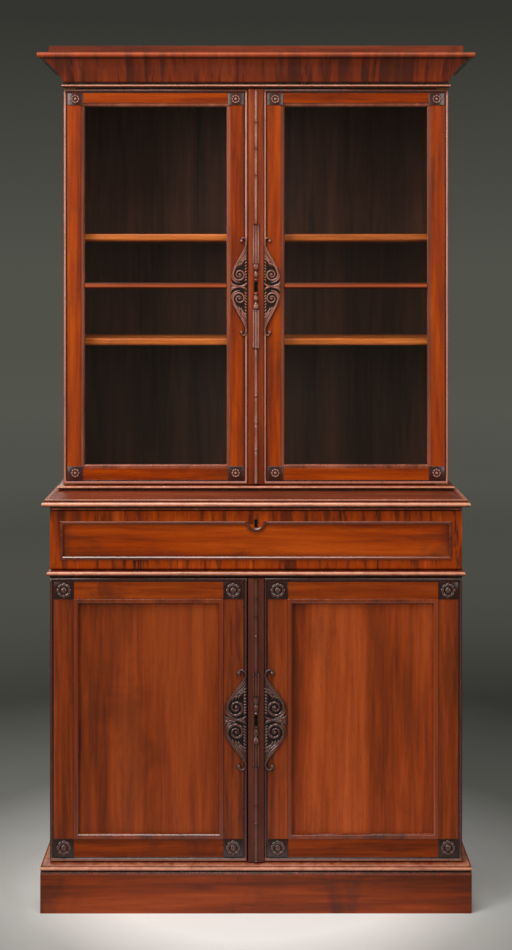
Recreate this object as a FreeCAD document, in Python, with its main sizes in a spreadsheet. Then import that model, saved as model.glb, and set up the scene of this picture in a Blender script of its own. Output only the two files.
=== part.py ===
"""Secretaire bookcase: glazed upper stage on a fall-front drawer and a panelled cupboard.

Millimetres. +Z is up, the doors face -Y, and the origin is at the middle of the base.
"""
import FreeCAD
import Part
import Sketcher
import math
import os
from types import SimpleNamespace

SIZES = {
    # carcase
    "case_width": 1060,
    "lower_depth": 460,
    "upper_inset": 15,
    "upper_depth": 296,
    "side_thick": 20,
    "board_thick": 20,
    "back_thick": 12,
    "back_gap": 0.8,
    "door_thick": 24,
    "door_gap": 1,
    "door_clear": 3,
    # plinth
    "plinth_height": 98,
    "plinth_overhang": 22,
    "plinth_thick": 44,
    "plinth_moulding_height": 25,
    "plinth_fillet": 8,
    "plinth_step": 5,
    # lower case
    "lower_door_height": 728,
    "waist_bead_height": 15,
    "waist_bead_proud": 8,
    "fall_height": 151,
    "lower_top_thick": 28,
    "lower_top_overhang": 20,
    "lower_top_round": 12,
    # upper case
    "base_moulding_height": 14,
    "base_moulding_proud": 15,
    "base_moulding_step": 4,
    "upper_door_height": 1056,
    "upper_top_thick": 15,
    # cornice
    "cornice_bead_height": 13,
    "cornice_bead_proud": 5,
    "cove_height": 59,
    "cove_proud": 50,
    "cove_radius": 150,
    "cove_back": 22,
    "lip_height": 14,
    "lip_proud": 63,
    "blocking_height": 21,
    "blocking_thick": 20,
    "blocking_inset": 28,
    "dust_board_thick": 8,
    # shelves
    "shelf_thick": 19,
    "shelf_nose": 6,
    "shelf_housing": 6,
    "shelf_setback": 14,
    "low_shelf_height": 386,
    "high_shelf_height": 668,
    "cupboard_shelf_height": 330,
    "cupboard_shelf_setback": 60,
    # upper doors
    "upper_stile": 46,
    "upper_top_rail": 36,
    "upper_bottom_rail": 41,
    "glazing_bead": 10,
    "glazing_bead_depth": 11,
    "glazing_bead_recess": 2,
    "glazing_bar": 16,
    "glass_thick": 3,
    # lower doors
    "lower_stile": 61,
    "lower_top_rail": 54,
    "lower_bottom_rail": 57,
    "panel_moulding": 13,
    "panel_moulding_proud": 2,
    "panel_recess": 8,
    "panel_thick": 10,
    # meeting strip and carving
    "meeting_gap": 2.4,
    "strip_width": 41,
    "strip_thick": 6,
    "reed_radius": 5,
    "thick_reed_radius": 6.5,
    "collar_height": 7,
    "collar_proud": 2.5,
    "bud_length": 34,
    "bud_radius": 9,
    "bud_tip_radius": 3,
    "bud_space": 14,
    "rosette_thick": 2,
    "rosette_relief": 6,
    "upper_block": 34,
    "lower_block": 48,
    "applique_thick": 6,
    "volute_proud": 4,
    "upper_applique_width": 44,
    "upper_applique_height": 262,
    "lower_applique_width": 58,
    "lower_applique_height": 257,
    # hinges
    "pivot_from_side": 4,
    "pivot_from_front": 11,
    "plate_length": 32,
    "plate_width": 14,
    "plate_thick": 2,
    "socket_thick": 8,
    "pin_bite": 6,
    "pin_radius": 2.5,
    "pin_play": 0.05,
    "hinge_clear": 0.3,
    # locks
    "lock_width": 30,
    "lock_height": 70,
    "lock_depth": 12,
    "bolt_height": 18,
    "bolt_thick": 5,
    "bolt_travel": 8,
    "bolt_play": 0.3,
    "lock_wall": 3,
    "key_radius": 3,
    # secretaire drawer
    "drawer_side": 12,
    "drawer_play": 1,
    "drawer_depth": 425,
    "drawer_head": 8,
    "desk_thick": 10,
    "leather_thick": 2,
    "leather_border": 28,
    "fall_nose": 6,
    "fall_border": 26,
    "fall_moulding": 8,
    "fall_moulding_proud": 3.5,
    "fall_panel_recess": 2.5,
    "key_arch_radius": 27,
    "fall_lock_height": 42,
    "fall_key_drop": 31,
    "strap_width": 28,
    "strap_length": 46,
    "strap_thick": 4,
    "strap_eye_radius": 5,
    "fall_pin_radius": 2,
    "fall_pin_bite": 9,
    "quadrant_radius": 104,
    "quadrant_width": 9,
    "quadrant_thick": 3,
    "quadrant_foot": 16,
    "nest_depth": 165,
    "nest_board": 6,
    "nest_drawer_width": 190,
    "nest_drawer_height": 46,
    "small_play": 0.6,
    "small_wall": 7,
    "small_bottom": 4,
    "knob_radius": 7,
    "knob_length": 14,
}

doc = FreeCAD.newDocument("SecretaireBookcase")
sheet = doc.addObject("Spreadsheet::Sheet", "Sizes")
for row, (name, value) in enumerate(SIZES.items(), 1):
    sheet.set(f"A{row}", name)
    sheet.set(f"B{row}", str(value))
    sheet.setAlias(f"B{row}", name)
doc.recompute()


class Size:
    """A length as a number, with the spreadsheet formula that gives it."""

    def __init__(self, number, formula):
        self.number = number
        self.formula = formula

    def joined(self, sign, other, number):
        return Size(number, f"({self.formula} {sign} {as_size(other).formula})")

    def __add__(self, other):
        return self.joined("+", other, self.number + as_size(other).number)

    def __sub__(self, other):
        return self.joined("-", other, self.number - as_size(other).number)

    def __mul__(self, factor):
        return self.joined("*", factor, self.number * as_size(factor).number)

    def __truediv__(self, factor):
        return self.joined("/", factor, self.number / as_size(factor).number)

    def __neg__(self):
        return Size(-self.number, f"(0 - {self.formula})")


def as_size(value):
    """Plain numbers join in sums with sizes."""
    if isinstance(value, Size):
        return value
    return Size(float(value), f"{float(value):.9f}")


def root(value):
    """The square root of a size."""
    return Size(math.sqrt(value.number), f"sqrt({value.formula})")


S = SimpleNamespace(**{name: Size(float(sheet.get(name)), f"Sizes.{name}") for name in SIZES})
nodes = {}


def bind(item, prop, value):
    item.setExpression(prop, as_size(value).formula)


def place(item, x, y, z, turn=None):
    """Moves a piece to a point given in sizes, after an optional turn."""
    if turn is not None:
        item.Placement = FreeCAD.Placement(FreeCAD.Vector(), turn)
    for axis, value in zip("xyz", (x, y, z)):
        bind(item, f"Placement.Base.{axis}", value)


def turned(axis, degrees):
    return FreeCAD.Rotation(FreeCAD.Vector(*axis), degrees)


def board(name, x, y, z):
    """A rectangular piece; x, y and z are its (low, high) planes."""
    piece = doc.addObject("Part::Box", name)
    for (low, high), side in zip((x, y, z), ("Length", "Width", "Height")):
        bind(piece, side, as_size(high) - low)
    place(piece, x[0], y[0], z[0])
    return piece


def rod(name, radius, length, x, y, z, turn=None):
    """A round piece that runs along +Z from its base, before an optional turn."""
    piece = doc.addObject("Part::Cylinder", name)
    bind(piece, "Radius", radius)
    bind(piece, "Height", length)
    place(piece, x, y, z, turn)
    return piece


def group(name, pieces):
    """Separate solids kept under one name."""
    piece = doc.addObject("Part::Compound", name)
    piece.Links = pieces
    return piece


def fuse(name, pieces):
    piece = doc.addObject("Part::MultiFuse", name)
    piece.Shapes = pieces
    return piece


def cut(name, base, tools):
    piece = doc.addObject("Part::Cut", name)
    piece.Base = base
    piece.Tool = tools[0] if len(tools) == 1 else group(f"{name}_tools", tools)
    return piece


def node(label, pieces):
    """Lists one named node; several pieces stay separate solids in it."""
    piece = pieces[0] if len(pieces) == 1 else group(label, pieces)
    piece.Label = label
    nodes[label] = piece
    return piece


def between(first, second):
    """Two planes of one piece in rising order."""
    return (first, second) if first.number < second.number else (second, first)


def span(side, near, far):
    """The x planes of a piece that lies between near and far on one side of the middle."""
    return (near, far) if side > 0 else (-far, -near)


def own_plane(body, role):
    return next(item for item in body.Origin.OriginFeatures if item.Role == role)


def arc_between(start, end, radius, turn):
    """The short arc between two points: turn is 1 for anticlockwise and -1 for clockwise."""
    middle = (start + end) * 0.5
    chord = end - start
    rise = math.sqrt(max(radius ** 2 - chord.Length ** 2 / 4, 0))
    left = FreeCAD.Vector(-chord.y, chord.x, 0).normalize()
    centre = middle + left * (turn * rise)
    first, last = (start, end) if turn > 0 else (end, start)
    angles = [math.atan2(point.y - centre.y, point.x - centre.x) for point in (first, last)]
    circle = Part.Circle(centre, FreeCAD.Vector(0, 0, 1), radius)
    return Part.ArcOfCircle(circle, angles[0], angles[1])


def draw(sketch, outline):
    """Adds a closed outline whose points, and the radii of its arcs, are bound to sizes.

    A point is (x, y), or (x, y, radius, turn) where an arc leads on to the next point.
    """
    corners = [FreeCAD.Vector(as_size(point[0]).number, as_size(point[1]).number, 0) for point in outline]
    first_edge = sketch.GeometryCount
    geometry = []
    ends = []
    sizes = []
    for index, point in enumerate(outline):
        start = corners[index]
        end = corners[(index + 1) % len(corners)]
        if len(point) == 2:
            geometry.append(Part.LineSegment(start, end))
            ends.append((1, 2))
            continue
        radius, turn = point[2:]
        geometry.append(arc_between(start, end, as_size(radius).number, turn))
        ends.append((1, 2) if turn > 0 else (2, 1))
        sizes.append((("Radius", first_edge + index), radius))
    joints = []
    for index, (start, end) in enumerate(ends):
        following = (index + 1) % len(ends)
        next_start = ends[following][0]
        meeting = (first_edge + index, end, first_edge + following, next_start)
        joints.append(Sketcher.Constraint("Coincident", *meeting))
        for kind, value in zip(("DistanceX", "DistanceY"), outline[index]):
            sizes.append(((kind, -1, 1, first_edge + index, start), value))
    sketch.addGeometry(geometry, False)
    sketch.addConstraint(joints)
    first_size = sketch.ConstraintCount
    sketch.addConstraint([Sketcher.Constraint(*what, as_size(value).number) for what, value in sizes])
    for index, (what, value) in enumerate(sizes):
        bind(sketch, f"Constraints[{first_size + index}]", value)


def sketch_on(body, name, role, outlines):
    sketch = body.newObject("Sketcher::SketchObject", name)
    sketch.AttachmentSupport = [(own_plane(body, role), "")]
    sketch.MapMode = "FlatFace"
    for outline in outlines:
        draw(sketch, outline)
    return sketch


def pad(body, name, sketch, length):
    feature = body.newObject("PartDesign::Pad", name)
    feature.Profile = sketch
    bind(feature, "Length", length)
    return feature


def mitred_run(name, profile, length, ends, out, inside, square_inside=False):
    """A moulding along +X with its profile in y and z, where -y is outward.

    length is measured where y is 0. A mitred end runs outward from there at 45 degrees;
    behind it, the end goes on at 45 degrees or, with square_inside, straight back.
    """
    body = doc.addObject("PartDesign::Body", name)
    section = sketch_on(body, f"{name}_section", "YZ_Plane", [profile])
    start = -out if ends[0] else as_size(0)
    stop = length + out if ends[1] else length
    bind(section, "AttachmentOffset.Base.z", start)
    pad(body, f"{name}_pad", section, stop - start)
    reach = out + inside
    waste = []
    for mitred, corner, sign in ((ends[0], as_size(0), 1), (ends[1], length, -1)):
        if not mitred:
            continue
        outline = [(corner - reach * sign, -reach), (corner - reach * sign, reach)]
        if square_inside:
            outline += [(corner, reach), (corner, 0)]
        else:
            outline += [(corner + reach * sign, reach)]
        waste.append(outline)
    if waste:
        mitre = body.newObject("PartDesign::Pocket", f"{name}_mitre")
        mitre.Profile = sketch_on(body, f"{name}_waste", "XY_Plane", waste)
        mitre.Type = "ThroughAll"
        mitre.Reversed = True
    return body


def surround(name, profile, width, face, z, out, inside=0, front_inside=None):
    """A moulding in three mitred lengths round the front and sides of a case.

    profile(inside) gives the section's outline; front_inside is how far the front length
    reaches back where that differs from the sides.
    """
    inside = as_size(inside)
    deep = inside if front_inside is None else front_inside
    square = front_inside is not None
    run = back_y - face
    front = mitred_run(f"{name}_front", profile(deep), width, (True, True), out, deep, square)
    place(front, -(width / 2), face, z)
    left = mitred_run(f"{name}_left", profile(inside), run, (False, True), out, inside)
    place(left, -(width / 2), back_y, z, turned((0, 0, 1), -90))
    right = mitred_run(f"{name}_right", profile(inside), run, (True, False), out, inside)
    place(right, width / 2, face, z, turned((0, 0, 1), 90))
    return [front, left, right]


def crown_radius(reach, rise):
    """The radius of an arc that rises over a reach and ends level."""
    return (reach * reach + rise * rise) / (rise * 2)


def square_section(out, height):
    return lambda inside: [(inside, 0), (-out, 0), (-out, height), (inside, height)]


def bead_section(proud, height):
    """A round nose between two narrow lands."""
    land = proud / 8
    nose = height / 2

    def outline(inside):
        front = [(-land, 0, nose, -1), (-proud, nose, nose, -1), (-land, height)]
        return [(inside, 0), *front, (inside, height)]
    return outline


def ovolo_section(out, height, fillet, step):
    """A square fillet under a round that ends level."""
    radius = crown_radius(out - step, height - fillet)

    def outline(inside):
        return [(inside, 0), (-out, 0), (-out, fillet, radius, -1), (-step, height), (inside, height)]
    return outline


# Levels and planes that several pieces share
back_y = (S.lower_depth + S.door_gap + S.door_thick + S.plinth_overhang) / 2
lower_front = back_y - S.lower_depth
lower_face = lower_front - S.door_gap - S.door_thick
upper_front = back_y - S.upper_depth
upper_face = upper_front - S.door_gap - S.door_thick
lower_half = S.case_width / 2
upper_half = lower_half - S.upper_inset
upper_width = upper_half * 2
lower_inner = lower_half - S.side_thick
upper_inner = upper_half - S.side_thick
front_depth = S.door_gap + S.door_thick

case_base = S.plinth_height + S.plinth_moulding_height
lower_door_low = case_base + S.door_clear
lower_door_high = lower_door_low + S.lower_door_height
waist_low = lower_door_high + S.door_clear
waist_high = waist_low + S.waist_bead_height
fall_low = waist_high + S.door_clear
fall_high = fall_low + S.fall_height
lower_top_low = fall_high + S.door_clear
upper_base = lower_top_low + S.lower_top_thick
upper_door_low = upper_base + S.base_moulding_height + S.door_clear
upper_door_high = upper_door_low + S.upper_door_height
upper_top_low = upper_door_high + S.door_clear
cove_low = upper_top_low + S.upper_top_thick
lip_high = cove_low + S.cove_height + S.lip_height

fall_back = lower_face + S.door_thick
fall_bolt_y = fall_back - S.lock_depth / 2
fall_axis_y = fall_back - S.door_thick / 2
fall_axis_z = fall_low + S.door_thick / 2
desk_high = fall_low + S.door_thick
desk_low = desk_high - S.desk_thick
drawer_half = lower_inner - S.drawer_play
drawer_inner = drawer_half - S.drawer_side
drawer_high = lower_top_low - S.drawer_head
drawer_back = lower_front + S.drawer_depth
nest_back = drawer_back - S.drawer_side
nest_front = nest_back - S.nest_depth


def plinth():
    out = S.plinth_overhang
    inside = S.plinth_thick - out
    section = square_section(out, S.plinth_height)
    boards = surround("plinth_board", section, S.case_width, lower_face, 0, out, inside)
    inner = lower_half - inside
    back = (back_y - S.board_thick, back_y)
    boards.append(board("plinth_back", (-inner, inner), back, (0, S.plinth_height)))
    node("plinth_boards", boards)
    section = ovolo_section(out, S.plinth_moulding_height, S.plinth_fillet, S.plinth_step)
    node("plinth_moulding", surround(
        "plinth_cap", section, S.case_width, lower_face, S.plinth_height, out, S.side_thick))


def nosed_board(name, x, y, z, nose):
    """A board whose front edge is rounded above and below."""
    body = doc.addObject("PartDesign::Body", name)
    front, back = y
    top = z[1] - z[0]
    outline = [(back, 0), (front + nose, 0, nose, -1), (front, nose), (front, top - nose, nose, -1)]
    outline += [(front + nose, top), (back, top)]
    section = sketch_on(body, f"{name}_section", "YZ_Plane", [outline])
    bind(section, "AttachmentOffset.Base.z", x[0])
    pad(body, f"{name}_pad", section, x[1] - x[0])
    place(body, 0, 0, z[0])
    return body


def shelf(name, half, low, front):
    across = (-half, half)
    return nosed_board(name, across, (front, back_y - S.back_thick), (low, low + S.shelf_thick), S.shelf_nose)


def back_boards(name, half, z):
    """A back of upright boards, side by side."""
    pitch = half * 2 / BACK_BOARDS
    y = (back_y - S.back_thick, back_y)
    planks = []
    for index in range(BACK_BOARDS):
        left = pitch * index - half
        planks.append(board(f"{name}_{index}", (left, left + pitch - S.back_gap), y, z))
    return planks


STAGES = {
    "lower": SimpleNamespace(
        half=lower_half, inner=lower_inner, front=lower_front, face=lower_face,
        low=lower_door_low, high=lower_door_high, height=S.lower_door_height,
        stile=S.lower_stile, top_rail=S.lower_top_rail, bottom_rail=S.lower_bottom_rail,
        block=S.lower_block, carving_width=S.lower_applique_width, carving_height=S.lower_applique_height),
    "upper": SimpleNamespace(
        half=upper_half, inner=upper_inner, front=upper_front, face=upper_face,
        low=upper_door_low, high=upper_door_high, height=S.upper_door_height,
        stile=S.upper_stile, top_rail=S.upper_top_rail, bottom_rail=S.upper_bottom_rail,
        block=S.upper_block, carving_width=S.upper_applique_width, carving_height=S.upper_applique_height),
}
SIDES = {"left": -1, "right": 1}
ENDS = {"low": -1, "high": 1}
BACK_BOARDS = 6
STRAP_SHARES = (-0.6, 0.6)
NEST_HOLES = 5
PETALS = 8
PETAL_HOLLOW = 0.85
FACETS = 8
COLLARS = (0.33, 0.57, 0.69, 0.83)


def case_sides(stage_name, low, high, shelves):
    """Both sides of a stage, with housings for its shelves."""
    stage = STAGES[stage_name]
    sides = []
    for word, side in SIDES.items():
        name = f"{stage_name}_{word}_side"
        x = span(side, stage.inner, stage.half)
        plank = board(f"{name}_plank", x, (stage.front, back_y), (low, high))
        tools = []
        for index, (shelf_low, setback) in enumerate(shelves):
            x = span(side, stage.inner, stage.inner + S.shelf_housing)
            y = (stage.front + setback, back_y - S.back_thick)
            tools.append(board(f"{name}_housing_{index}", x, y, (shelf_low, shelf_low + S.shelf_thick)))
        sides.append(cut(name, plank, tools))
    node(f"{stage_name}_sides", sides)


cupboard_shelf_low = case_base + S.cupboard_shelf_height
book_shelf_lows = [upper_base + S.low_shelf_height, upper_base + S.high_shelf_height]


def lower_case():
    case_sides("lower", case_base, lower_top_low, [(cupboard_shelf_low, S.cupboard_shelf_setback)])
    across = (-lower_inner, lower_inner)
    depth = (lower_front, back_y - S.back_thick)
    bottom = board("lower_bottom", across, depth, (case_base, case_base + S.board_thick))
    dust = board("dust_board", across, depth, (waist_high - S.board_thick, waist_high))
    node("lower_boards", [bottom, dust])
    node("lower_back", back_boards("lower_back_board", lower_inner, (case_base, lower_top_low)))
    bead = bead_section(S.waist_bead_proud, S.waist_bead_height)
    node("waist_bead", surround(
        "waist", bead, S.case_width, lower_face, waist_low, S.waist_bead_proud, 0, front_depth))
    lower_top()


def lower_top():
    """The board under the upper stage, with rounded edges and a mortise for the fall's bolt."""
    body = doc.addObject("PartDesign::Body", "lower_top_board")
    reach = lower_half + S.lower_top_overhang
    front = lower_face - S.lower_top_overhang
    corners = [(-reach, front), (reach, front), (reach, back_y), (-reach, back_y)]
    plan = sketch_on(body, "lower_top_plan", "XY_Plane", [corners])
    slab = pad(body, "lower_top_slab", plan, S.lower_top_thick)
    doc.recompute()
    rounded = []
    for index, edge in enumerate(slab.Shape.Edges, 1):
        middle = edge.BoundBox.Center
        upright = edge.BoundBox.ZLength > edge.BoundBox.XLength + edge.BoundBox.YLength
        if not upright and middle.y < back_y.number - 1:
            rounded.append(f"Edge{index}")
    nose = body.newObject("PartDesign::Fillet", "lower_top_nose")
    nose.Base = (slab, rounded)
    bind(nose, "Radius", S.lower_top_round)
    place(body, 0, 0, lower_top_low)
    half = S.bolt_height / 2 + S.bolt_play
    room = S.bolt_thick / 2 + S.bolt_play
    mortise = board("fall_bolt_mortise", (-half, half), (fall_bolt_y - room, fall_bolt_y + room),
                    (lower_top_low, lower_top_low + S.bolt_travel))
    node("lower_top", [cut("lower_top_cut", body, [mortise])])


def upper_case():
    case_sides("upper", upper_base, upper_top_low, [(low, S.shelf_setback) for low in book_shelf_lows])
    across = (-upper_inner, upper_inner)
    depth = (upper_front, back_y - S.back_thick)
    bottom = board("upper_bottom", across, depth, (upper_base, upper_base + S.board_thick))
    top = board("upper_top", (-upper_half, upper_half), (upper_face, back_y), (upper_top_low, cove_low))
    node("upper_boards", [bottom, top])
    node("upper_back", back_boards("upper_back_board", upper_inner, (upper_base, upper_top_low)))
    out = S.base_moulding_proud
    step = S.base_moulding_step
    section = ovolo_section(out, S.base_moulding_height, step, step / 2)
    node("upper_base_moulding", surround(
        "upper_base_cap", section, upper_width, upper_face, upper_base, out, 0, front_depth))
    shelves = [shelf(f"book_shelf_{index}", upper_inner + S.shelf_housing, low, upper_front + S.shelf_setback)
               for index, low in enumerate(book_shelf_lows)]
    shelves.append(shelf("cupboard_shelf", lower_inner + S.shelf_housing, cupboard_shelf_low,
                         lower_front + S.cupboard_shelf_setback))
    node("shelves", shelves)


def cornice():
    bead = bead_section(S.cornice_bead_proud, S.cornice_bead_height)
    bead_low = cove_low - S.cornice_bead_height
    node("cornice_bead", surround(
        "cornice_bead", bead, upper_width, upper_face, bead_low, S.cornice_bead_proud))

    def cove(inside):
        lip_low = S.cove_height
        lip_top = S.cove_height + S.lip_height
        lip_round = S.lip_height / 2
        return [(inside, 0), (0, 0, S.cove_radius, 1), (-S.cove_proud, lip_low),
                (lip_round - S.lip_proud, lip_low, lip_round, -1), (-S.lip_proud, lip_low + lip_round),
                (-S.lip_proud, lip_top), (inside, lip_top)]
    node("cornice_cove", surround(
        "cornice_cove", cove, upper_width, upper_face, cove_low, S.lip_proud, S.cove_back))
    inner = S.lip_proud - S.blocking_inset - S.blocking_thick
    strips = surround(
        "blocking", square_section(S.blocking_thick, S.blocking_height), upper_width + inner * 2,
        upper_face - inner, lip_high, S.blocking_thick)
    hollow = upper_half - S.cove_back
    across = (-hollow, hollow)
    rail = board("cornice_back_rail", across, (back_y - S.board_thick, back_y), (cove_low, lip_high))
    depth = (upper_face + S.cove_back, back_y - S.board_thick)
    cover = board("cornice_dust_board", across, depth, (lip_high - S.dust_board_thick, lip_high))
    node("cornice_blocking", [*strips, rail, cover])


def pivot_point(stage, side):
    """The x and y of a door's axis, inside its outer edge."""
    return (stage.half - S.pivot_from_side) * side, stage.face + S.pivot_from_front


def plate_planes(stage, side, start, thick):
    """The x, y and z planes of a hinge plate that is thick from its start level."""
    axis_y = pivot_point(stage, side)[1]
    x = span(side, stage.half - S.plate_length, stage.half)
    y = (axis_y - S.plate_width / 2, axis_y + S.plate_width / 2)
    return x, y, between(start, start + thick)


def socket_planes(stage, side, sign):
    """The bored plate let into the low or high end of a door."""
    edge = stage.low if sign < 0 else stage.high
    return plate_planes(stage, side, edge, S.socket_thick * -sign)


def hinges():
    """Centre hinges: plates with pins on the case, and bored plates in the ends of the doors."""
    plates = []
    pins = []
    for stage_name, stage in STAGES.items():
        for word, side in SIDES.items():
            sockets = []
            axis_x, axis_y = pivot_point(stage, side)
            for end, sign in ENDS.items():
                name = f"{stage_name}_{word}_{end}_hinge"
                edge = stage.low if sign < 0 else stage.high
                seat = edge + S.door_clear * sign
                plate = plate_planes(stage, side, seat, S.plate_thick * -sign)
                plates.append(board(f"{name}_plate", *plate))
                foot = seat - S.plate_thick * sign
                tip = edge - S.pin_bite * sign
                low, high = between(foot, tip)
                pins.append(rod(f"{name}_pin", S.pin_radius, high - low, axis_x, axis_y, low))
                low, high = between(edge, tip - S.hinge_clear * sign)
                bore = rod(f"{name}_bore", S.pin_radius + S.pin_play, high - low, axis_x, axis_y, low)
                block = board(f"{name}_block", *socket_planes(stage, side, sign))
                sockets.append(cut(f"{name}_socket", block, [bore]))
            node(f"{stage_name}_{word}_door_hinge_leaves", sockets)
    node("case_hinge_leaves", plates)
    node("hinge_pins", pins)


def door_edges(stage, side):
    """Distances from the middle of the case: meeting edge, then the near and far edges of the opening."""
    strip_edge = S.strip_width / 2
    meeting = -strip_edge if side > 0 else strip_edge + S.meeting_gap
    near = (strip_edge if side > 0 else meeting) + stage.stile
    return meeting, near, stage.half - stage.stile


def door_frame(stage_name, word):
    """Stiles and rails of one door, with the recesses for its hinge plates, lock and bolt."""
    stage = STAGES[stage_name]
    side = SIDES[word]
    name = f"{stage_name}_{word}_door"
    meeting, near, far = door_edges(stage, side)
    y = (stage.face, stage.face + S.door_thick)
    z = (stage.low, stage.high)
    outer = board(f"{name}_hinge_plank", span(side, far, stage.half), y, z)
    rooms = [board(f"{name}_{end}_plate_room", *socket_planes(stage, side, sign))
             for end, sign in ENDS.items()]
    inner = board(f"{name}_meeting_plank", span(side, meeting, near), y, z)
    recess = lock_recess(name, stage) if side > 0 else bolt_mortise(name, stage)
    stiles = [cut(f"{name}_hinge_stile", outer, rooms), cut(f"{name}_meeting_stile", inner, recess)]
    node(f"{name}_stiles", stiles)
    x = span(side, near, far)
    rails = [board(f"{name}_top_rail", x, y, (stage.high - stage.top_rail, stage.high)),
             board(f"{name}_bottom_rail", x, y, (stage.low, stage.low + stage.bottom_rail))]
    if stage_name == "upper":
        rails.append(glazing_bar(name, stage, side))
    node(f"{name}_rails", rails)


def opening(stage, side, margin):
    """The x and z planes of a door's opening, drawn in by a margin."""
    meeting, near, far = door_edges(stage, side)
    x = span(side, near + margin, far - margin)
    return x, (stage.low + stage.bottom_rail + margin, stage.high - stage.top_rail - margin)


def picture_frame(name, profile, x, z, y, out):
    """Four mitred lengths round an opening; the profile's height stands towards the front."""
    width = x[1] - x[0]
    height = z[1] - z[0]
    flat = turned((1, 0, 0), 90)
    lengths = (("bottom", width, x[0], z[0], 0), ("right", height, x[1], z[0], -90),
               ("top", width, x[1], z[1], 180), ("left", height, x[0], z[1], 90))
    runs = []
    for word, length, corner_x, corner_z, angle in lengths:
        run = mitred_run(f"{name}_{word}", profile, length, (True, True), out, as_size(0))
        place(run, corner_x, y, corner_z, turned((0, 1, 0), angle).multiply(flat))
        runs.append(run)
    return runs


def frame_section(width, height, land, edge):
    """A frame moulding: a flat land beside the wood and a round falling to the opening."""
    round_radius = crown_radius(height - edge, land)
    return [(0, 0), (-width, 0), (-width, height), (-land, height, round_radius, -1), (0, edge)]


def bar_levels(stage):
    """The planes of the glazing bar, half way up the opening."""
    middle = (stage.low + stage.bottom_rail + stage.high - stage.top_rail) / 2
    return middle - S.glazing_bar / 2, middle + S.glazing_bar / 2


def glazing_bar(name, stage, side):
    x, z = opening(stage, side, S.glazing_bead)
    front = stage.face + S.glazing_bead_recess
    back = front + S.glazing_bead_depth + S.glass_thick
    return nosed_board(f"{name}_bar", x, (front, back), bar_levels(stage), S.glazing_bar / 3)


def glazing(word):
    """Two panes, and the mitred bead in front of them."""
    stage = STAGES["upper"]
    side = SIDES[word]
    name = f"upper_{word}_door"
    x, z = opening(stage, side, as_size(0))
    front = stage.face + S.glazing_bead_recess + S.glazing_bead_depth
    y = (front, front + S.glass_thick)
    bar_low, bar_high = bar_levels(stage)
    low_pane = board(f"{name}_low_pane", x, y, (z[0], bar_low))
    high_pane = board(f"{name}_high_pane", x, y, (bar_high, z[1]))
    node(f"{name}_glass", [low_pane, high_pane])
    width = S.glazing_bead
    section = frame_section(width, S.glazing_bead_depth, width / 3, S.glazing_bead_depth / 3)
    x, z = opening(stage, side, width)
    node(f"{name}_glazing_bead", picture_frame(f"{name}_bead", section, x, z, front, width))


def panelling(word):
    """A flat panel, and the mitred moulding on its edge."""
    stage = STAGES["lower"]
    side = SIDES[word]
    name = f"lower_{word}_door"
    x, z = opening(stage, side, as_size(0))
    front = stage.face + S.panel_recess
    node(f"{name}_panel", [board(f"{name}_flat", x, (front, front + S.panel_thick), z)])
    width = S.panel_moulding
    height = S.panel_recess + S.panel_moulding_proud
    section = frame_section(width, height, width / 3, height / 4)
    x, z = opening(stage, side, width)
    node(f"{name}_panel_moulding", picture_frame(f"{name}_moulding", section, x, z, front, width))


def ring_points(radius, sides, inner=1.0):
    """An outline with tips on a radius and, between them, corners at a share of it."""
    points = []
    for index in range(sides):
        angle = 2 * math.pi * index / sides
        share = 1 if index % 2 == 0 else inner
        points.append((radius * (share * math.cos(angle)), radius * (share * math.sin(angle))))
    return points


def prism(body, name, role, outline, level, length, hollow=False):
    """A pad over an outline at a level on one of the body's planes, or a hollow of the same form."""
    sketch = sketch_on(body, f"{name}_outline", role, [outline])
    bind(sketch, "AttachmentOffset.Base.z", level)
    feature = body.newObject("PartDesign::Pocket" if hollow else "PartDesign::Pad", name)
    feature.Profile = sketch
    feature.Reversed = hollow
    bind(feature, "Length", length)
    return feature


def bevel(body, name, base, size):
    """Chamfers the edges of a feature's topmost face."""
    doc.recompute()
    heights = [face.BoundBox.ZMin for face in base.Shape.Faces]
    feature = body.newObject("PartDesign::Chamfer", name)
    feature.Base = (base, [f"Face{heights.index(max(heights)) + 1}"])
    bind(feature, "Size", size)
    return feature


def loft(body, name, role, sections):
    """A carved form with flat facets through outlines at given levels on one of the body's planes."""
    rings = []
    for index, (outline, level) in enumerate(sections):
        ring = sketch_on(body, f"{name}_ring_{index}", role, [outline])
        bind(ring, "AttachmentOffset.Base.z", level)
        rings.append(ring)
    feature = body.newObject("PartDesign::AdditiveLoft", name)
    feature.Profile = rings[0]
    feature.Sections = rings[1:]
    feature.Ruled = True
    return feature


# The rings of a rosette: radius as a share of the block, level as a share of the relief
PETAL_RING = (0.44, 0.6)
PETAL_BEVEL = 0.07
HOLLOW_RING = (0.21, 0.2)
BUTTON_RING = (0.12, 1.0)


def rosette(name, block, x, y, z):
    """A square block with a carved flower: raised petals, a hollow and a button."""
    body = doc.addObject("PartDesign::Body", name)
    half = block / 2
    square = [(-half, -half), (half, -half), (half, half), (-half, half)]
    tile = sketch_on(body, f"{name}_tile", "XY_Plane", [square])
    pad(body, f"{name}_block", tile, S.rosette_thick)
    radius, crest = PETAL_RING
    star = ring_points(block * radius, PETALS * 2, PETAL_HOLLOW)
    petals = prism(body, f"{name}_petals", "XY_Plane", star, S.rosette_thick, S.rosette_relief * crest)
    bevel(body, f"{name}_bevel", petals, block * PETAL_BEVEL)
    radius, floor = HOLLOW_RING
    ring = ring_points(block * radius, FACETS)
    level = S.rosette_thick + S.rosette_relief * floor
    prism(body, f"{name}_dish", "XY_Plane", ring, level, S.rosette_relief, hollow=True)
    radius, crest = BUTTON_RING
    ring = ring_points(block * radius, FACETS)
    prism(body, f"{name}_button", "XY_Plane", ring, S.rosette_thick, S.rosette_relief * crest)
    place(body, x, y, z, turned((1, 0, 0), 90))
    return body


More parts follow.
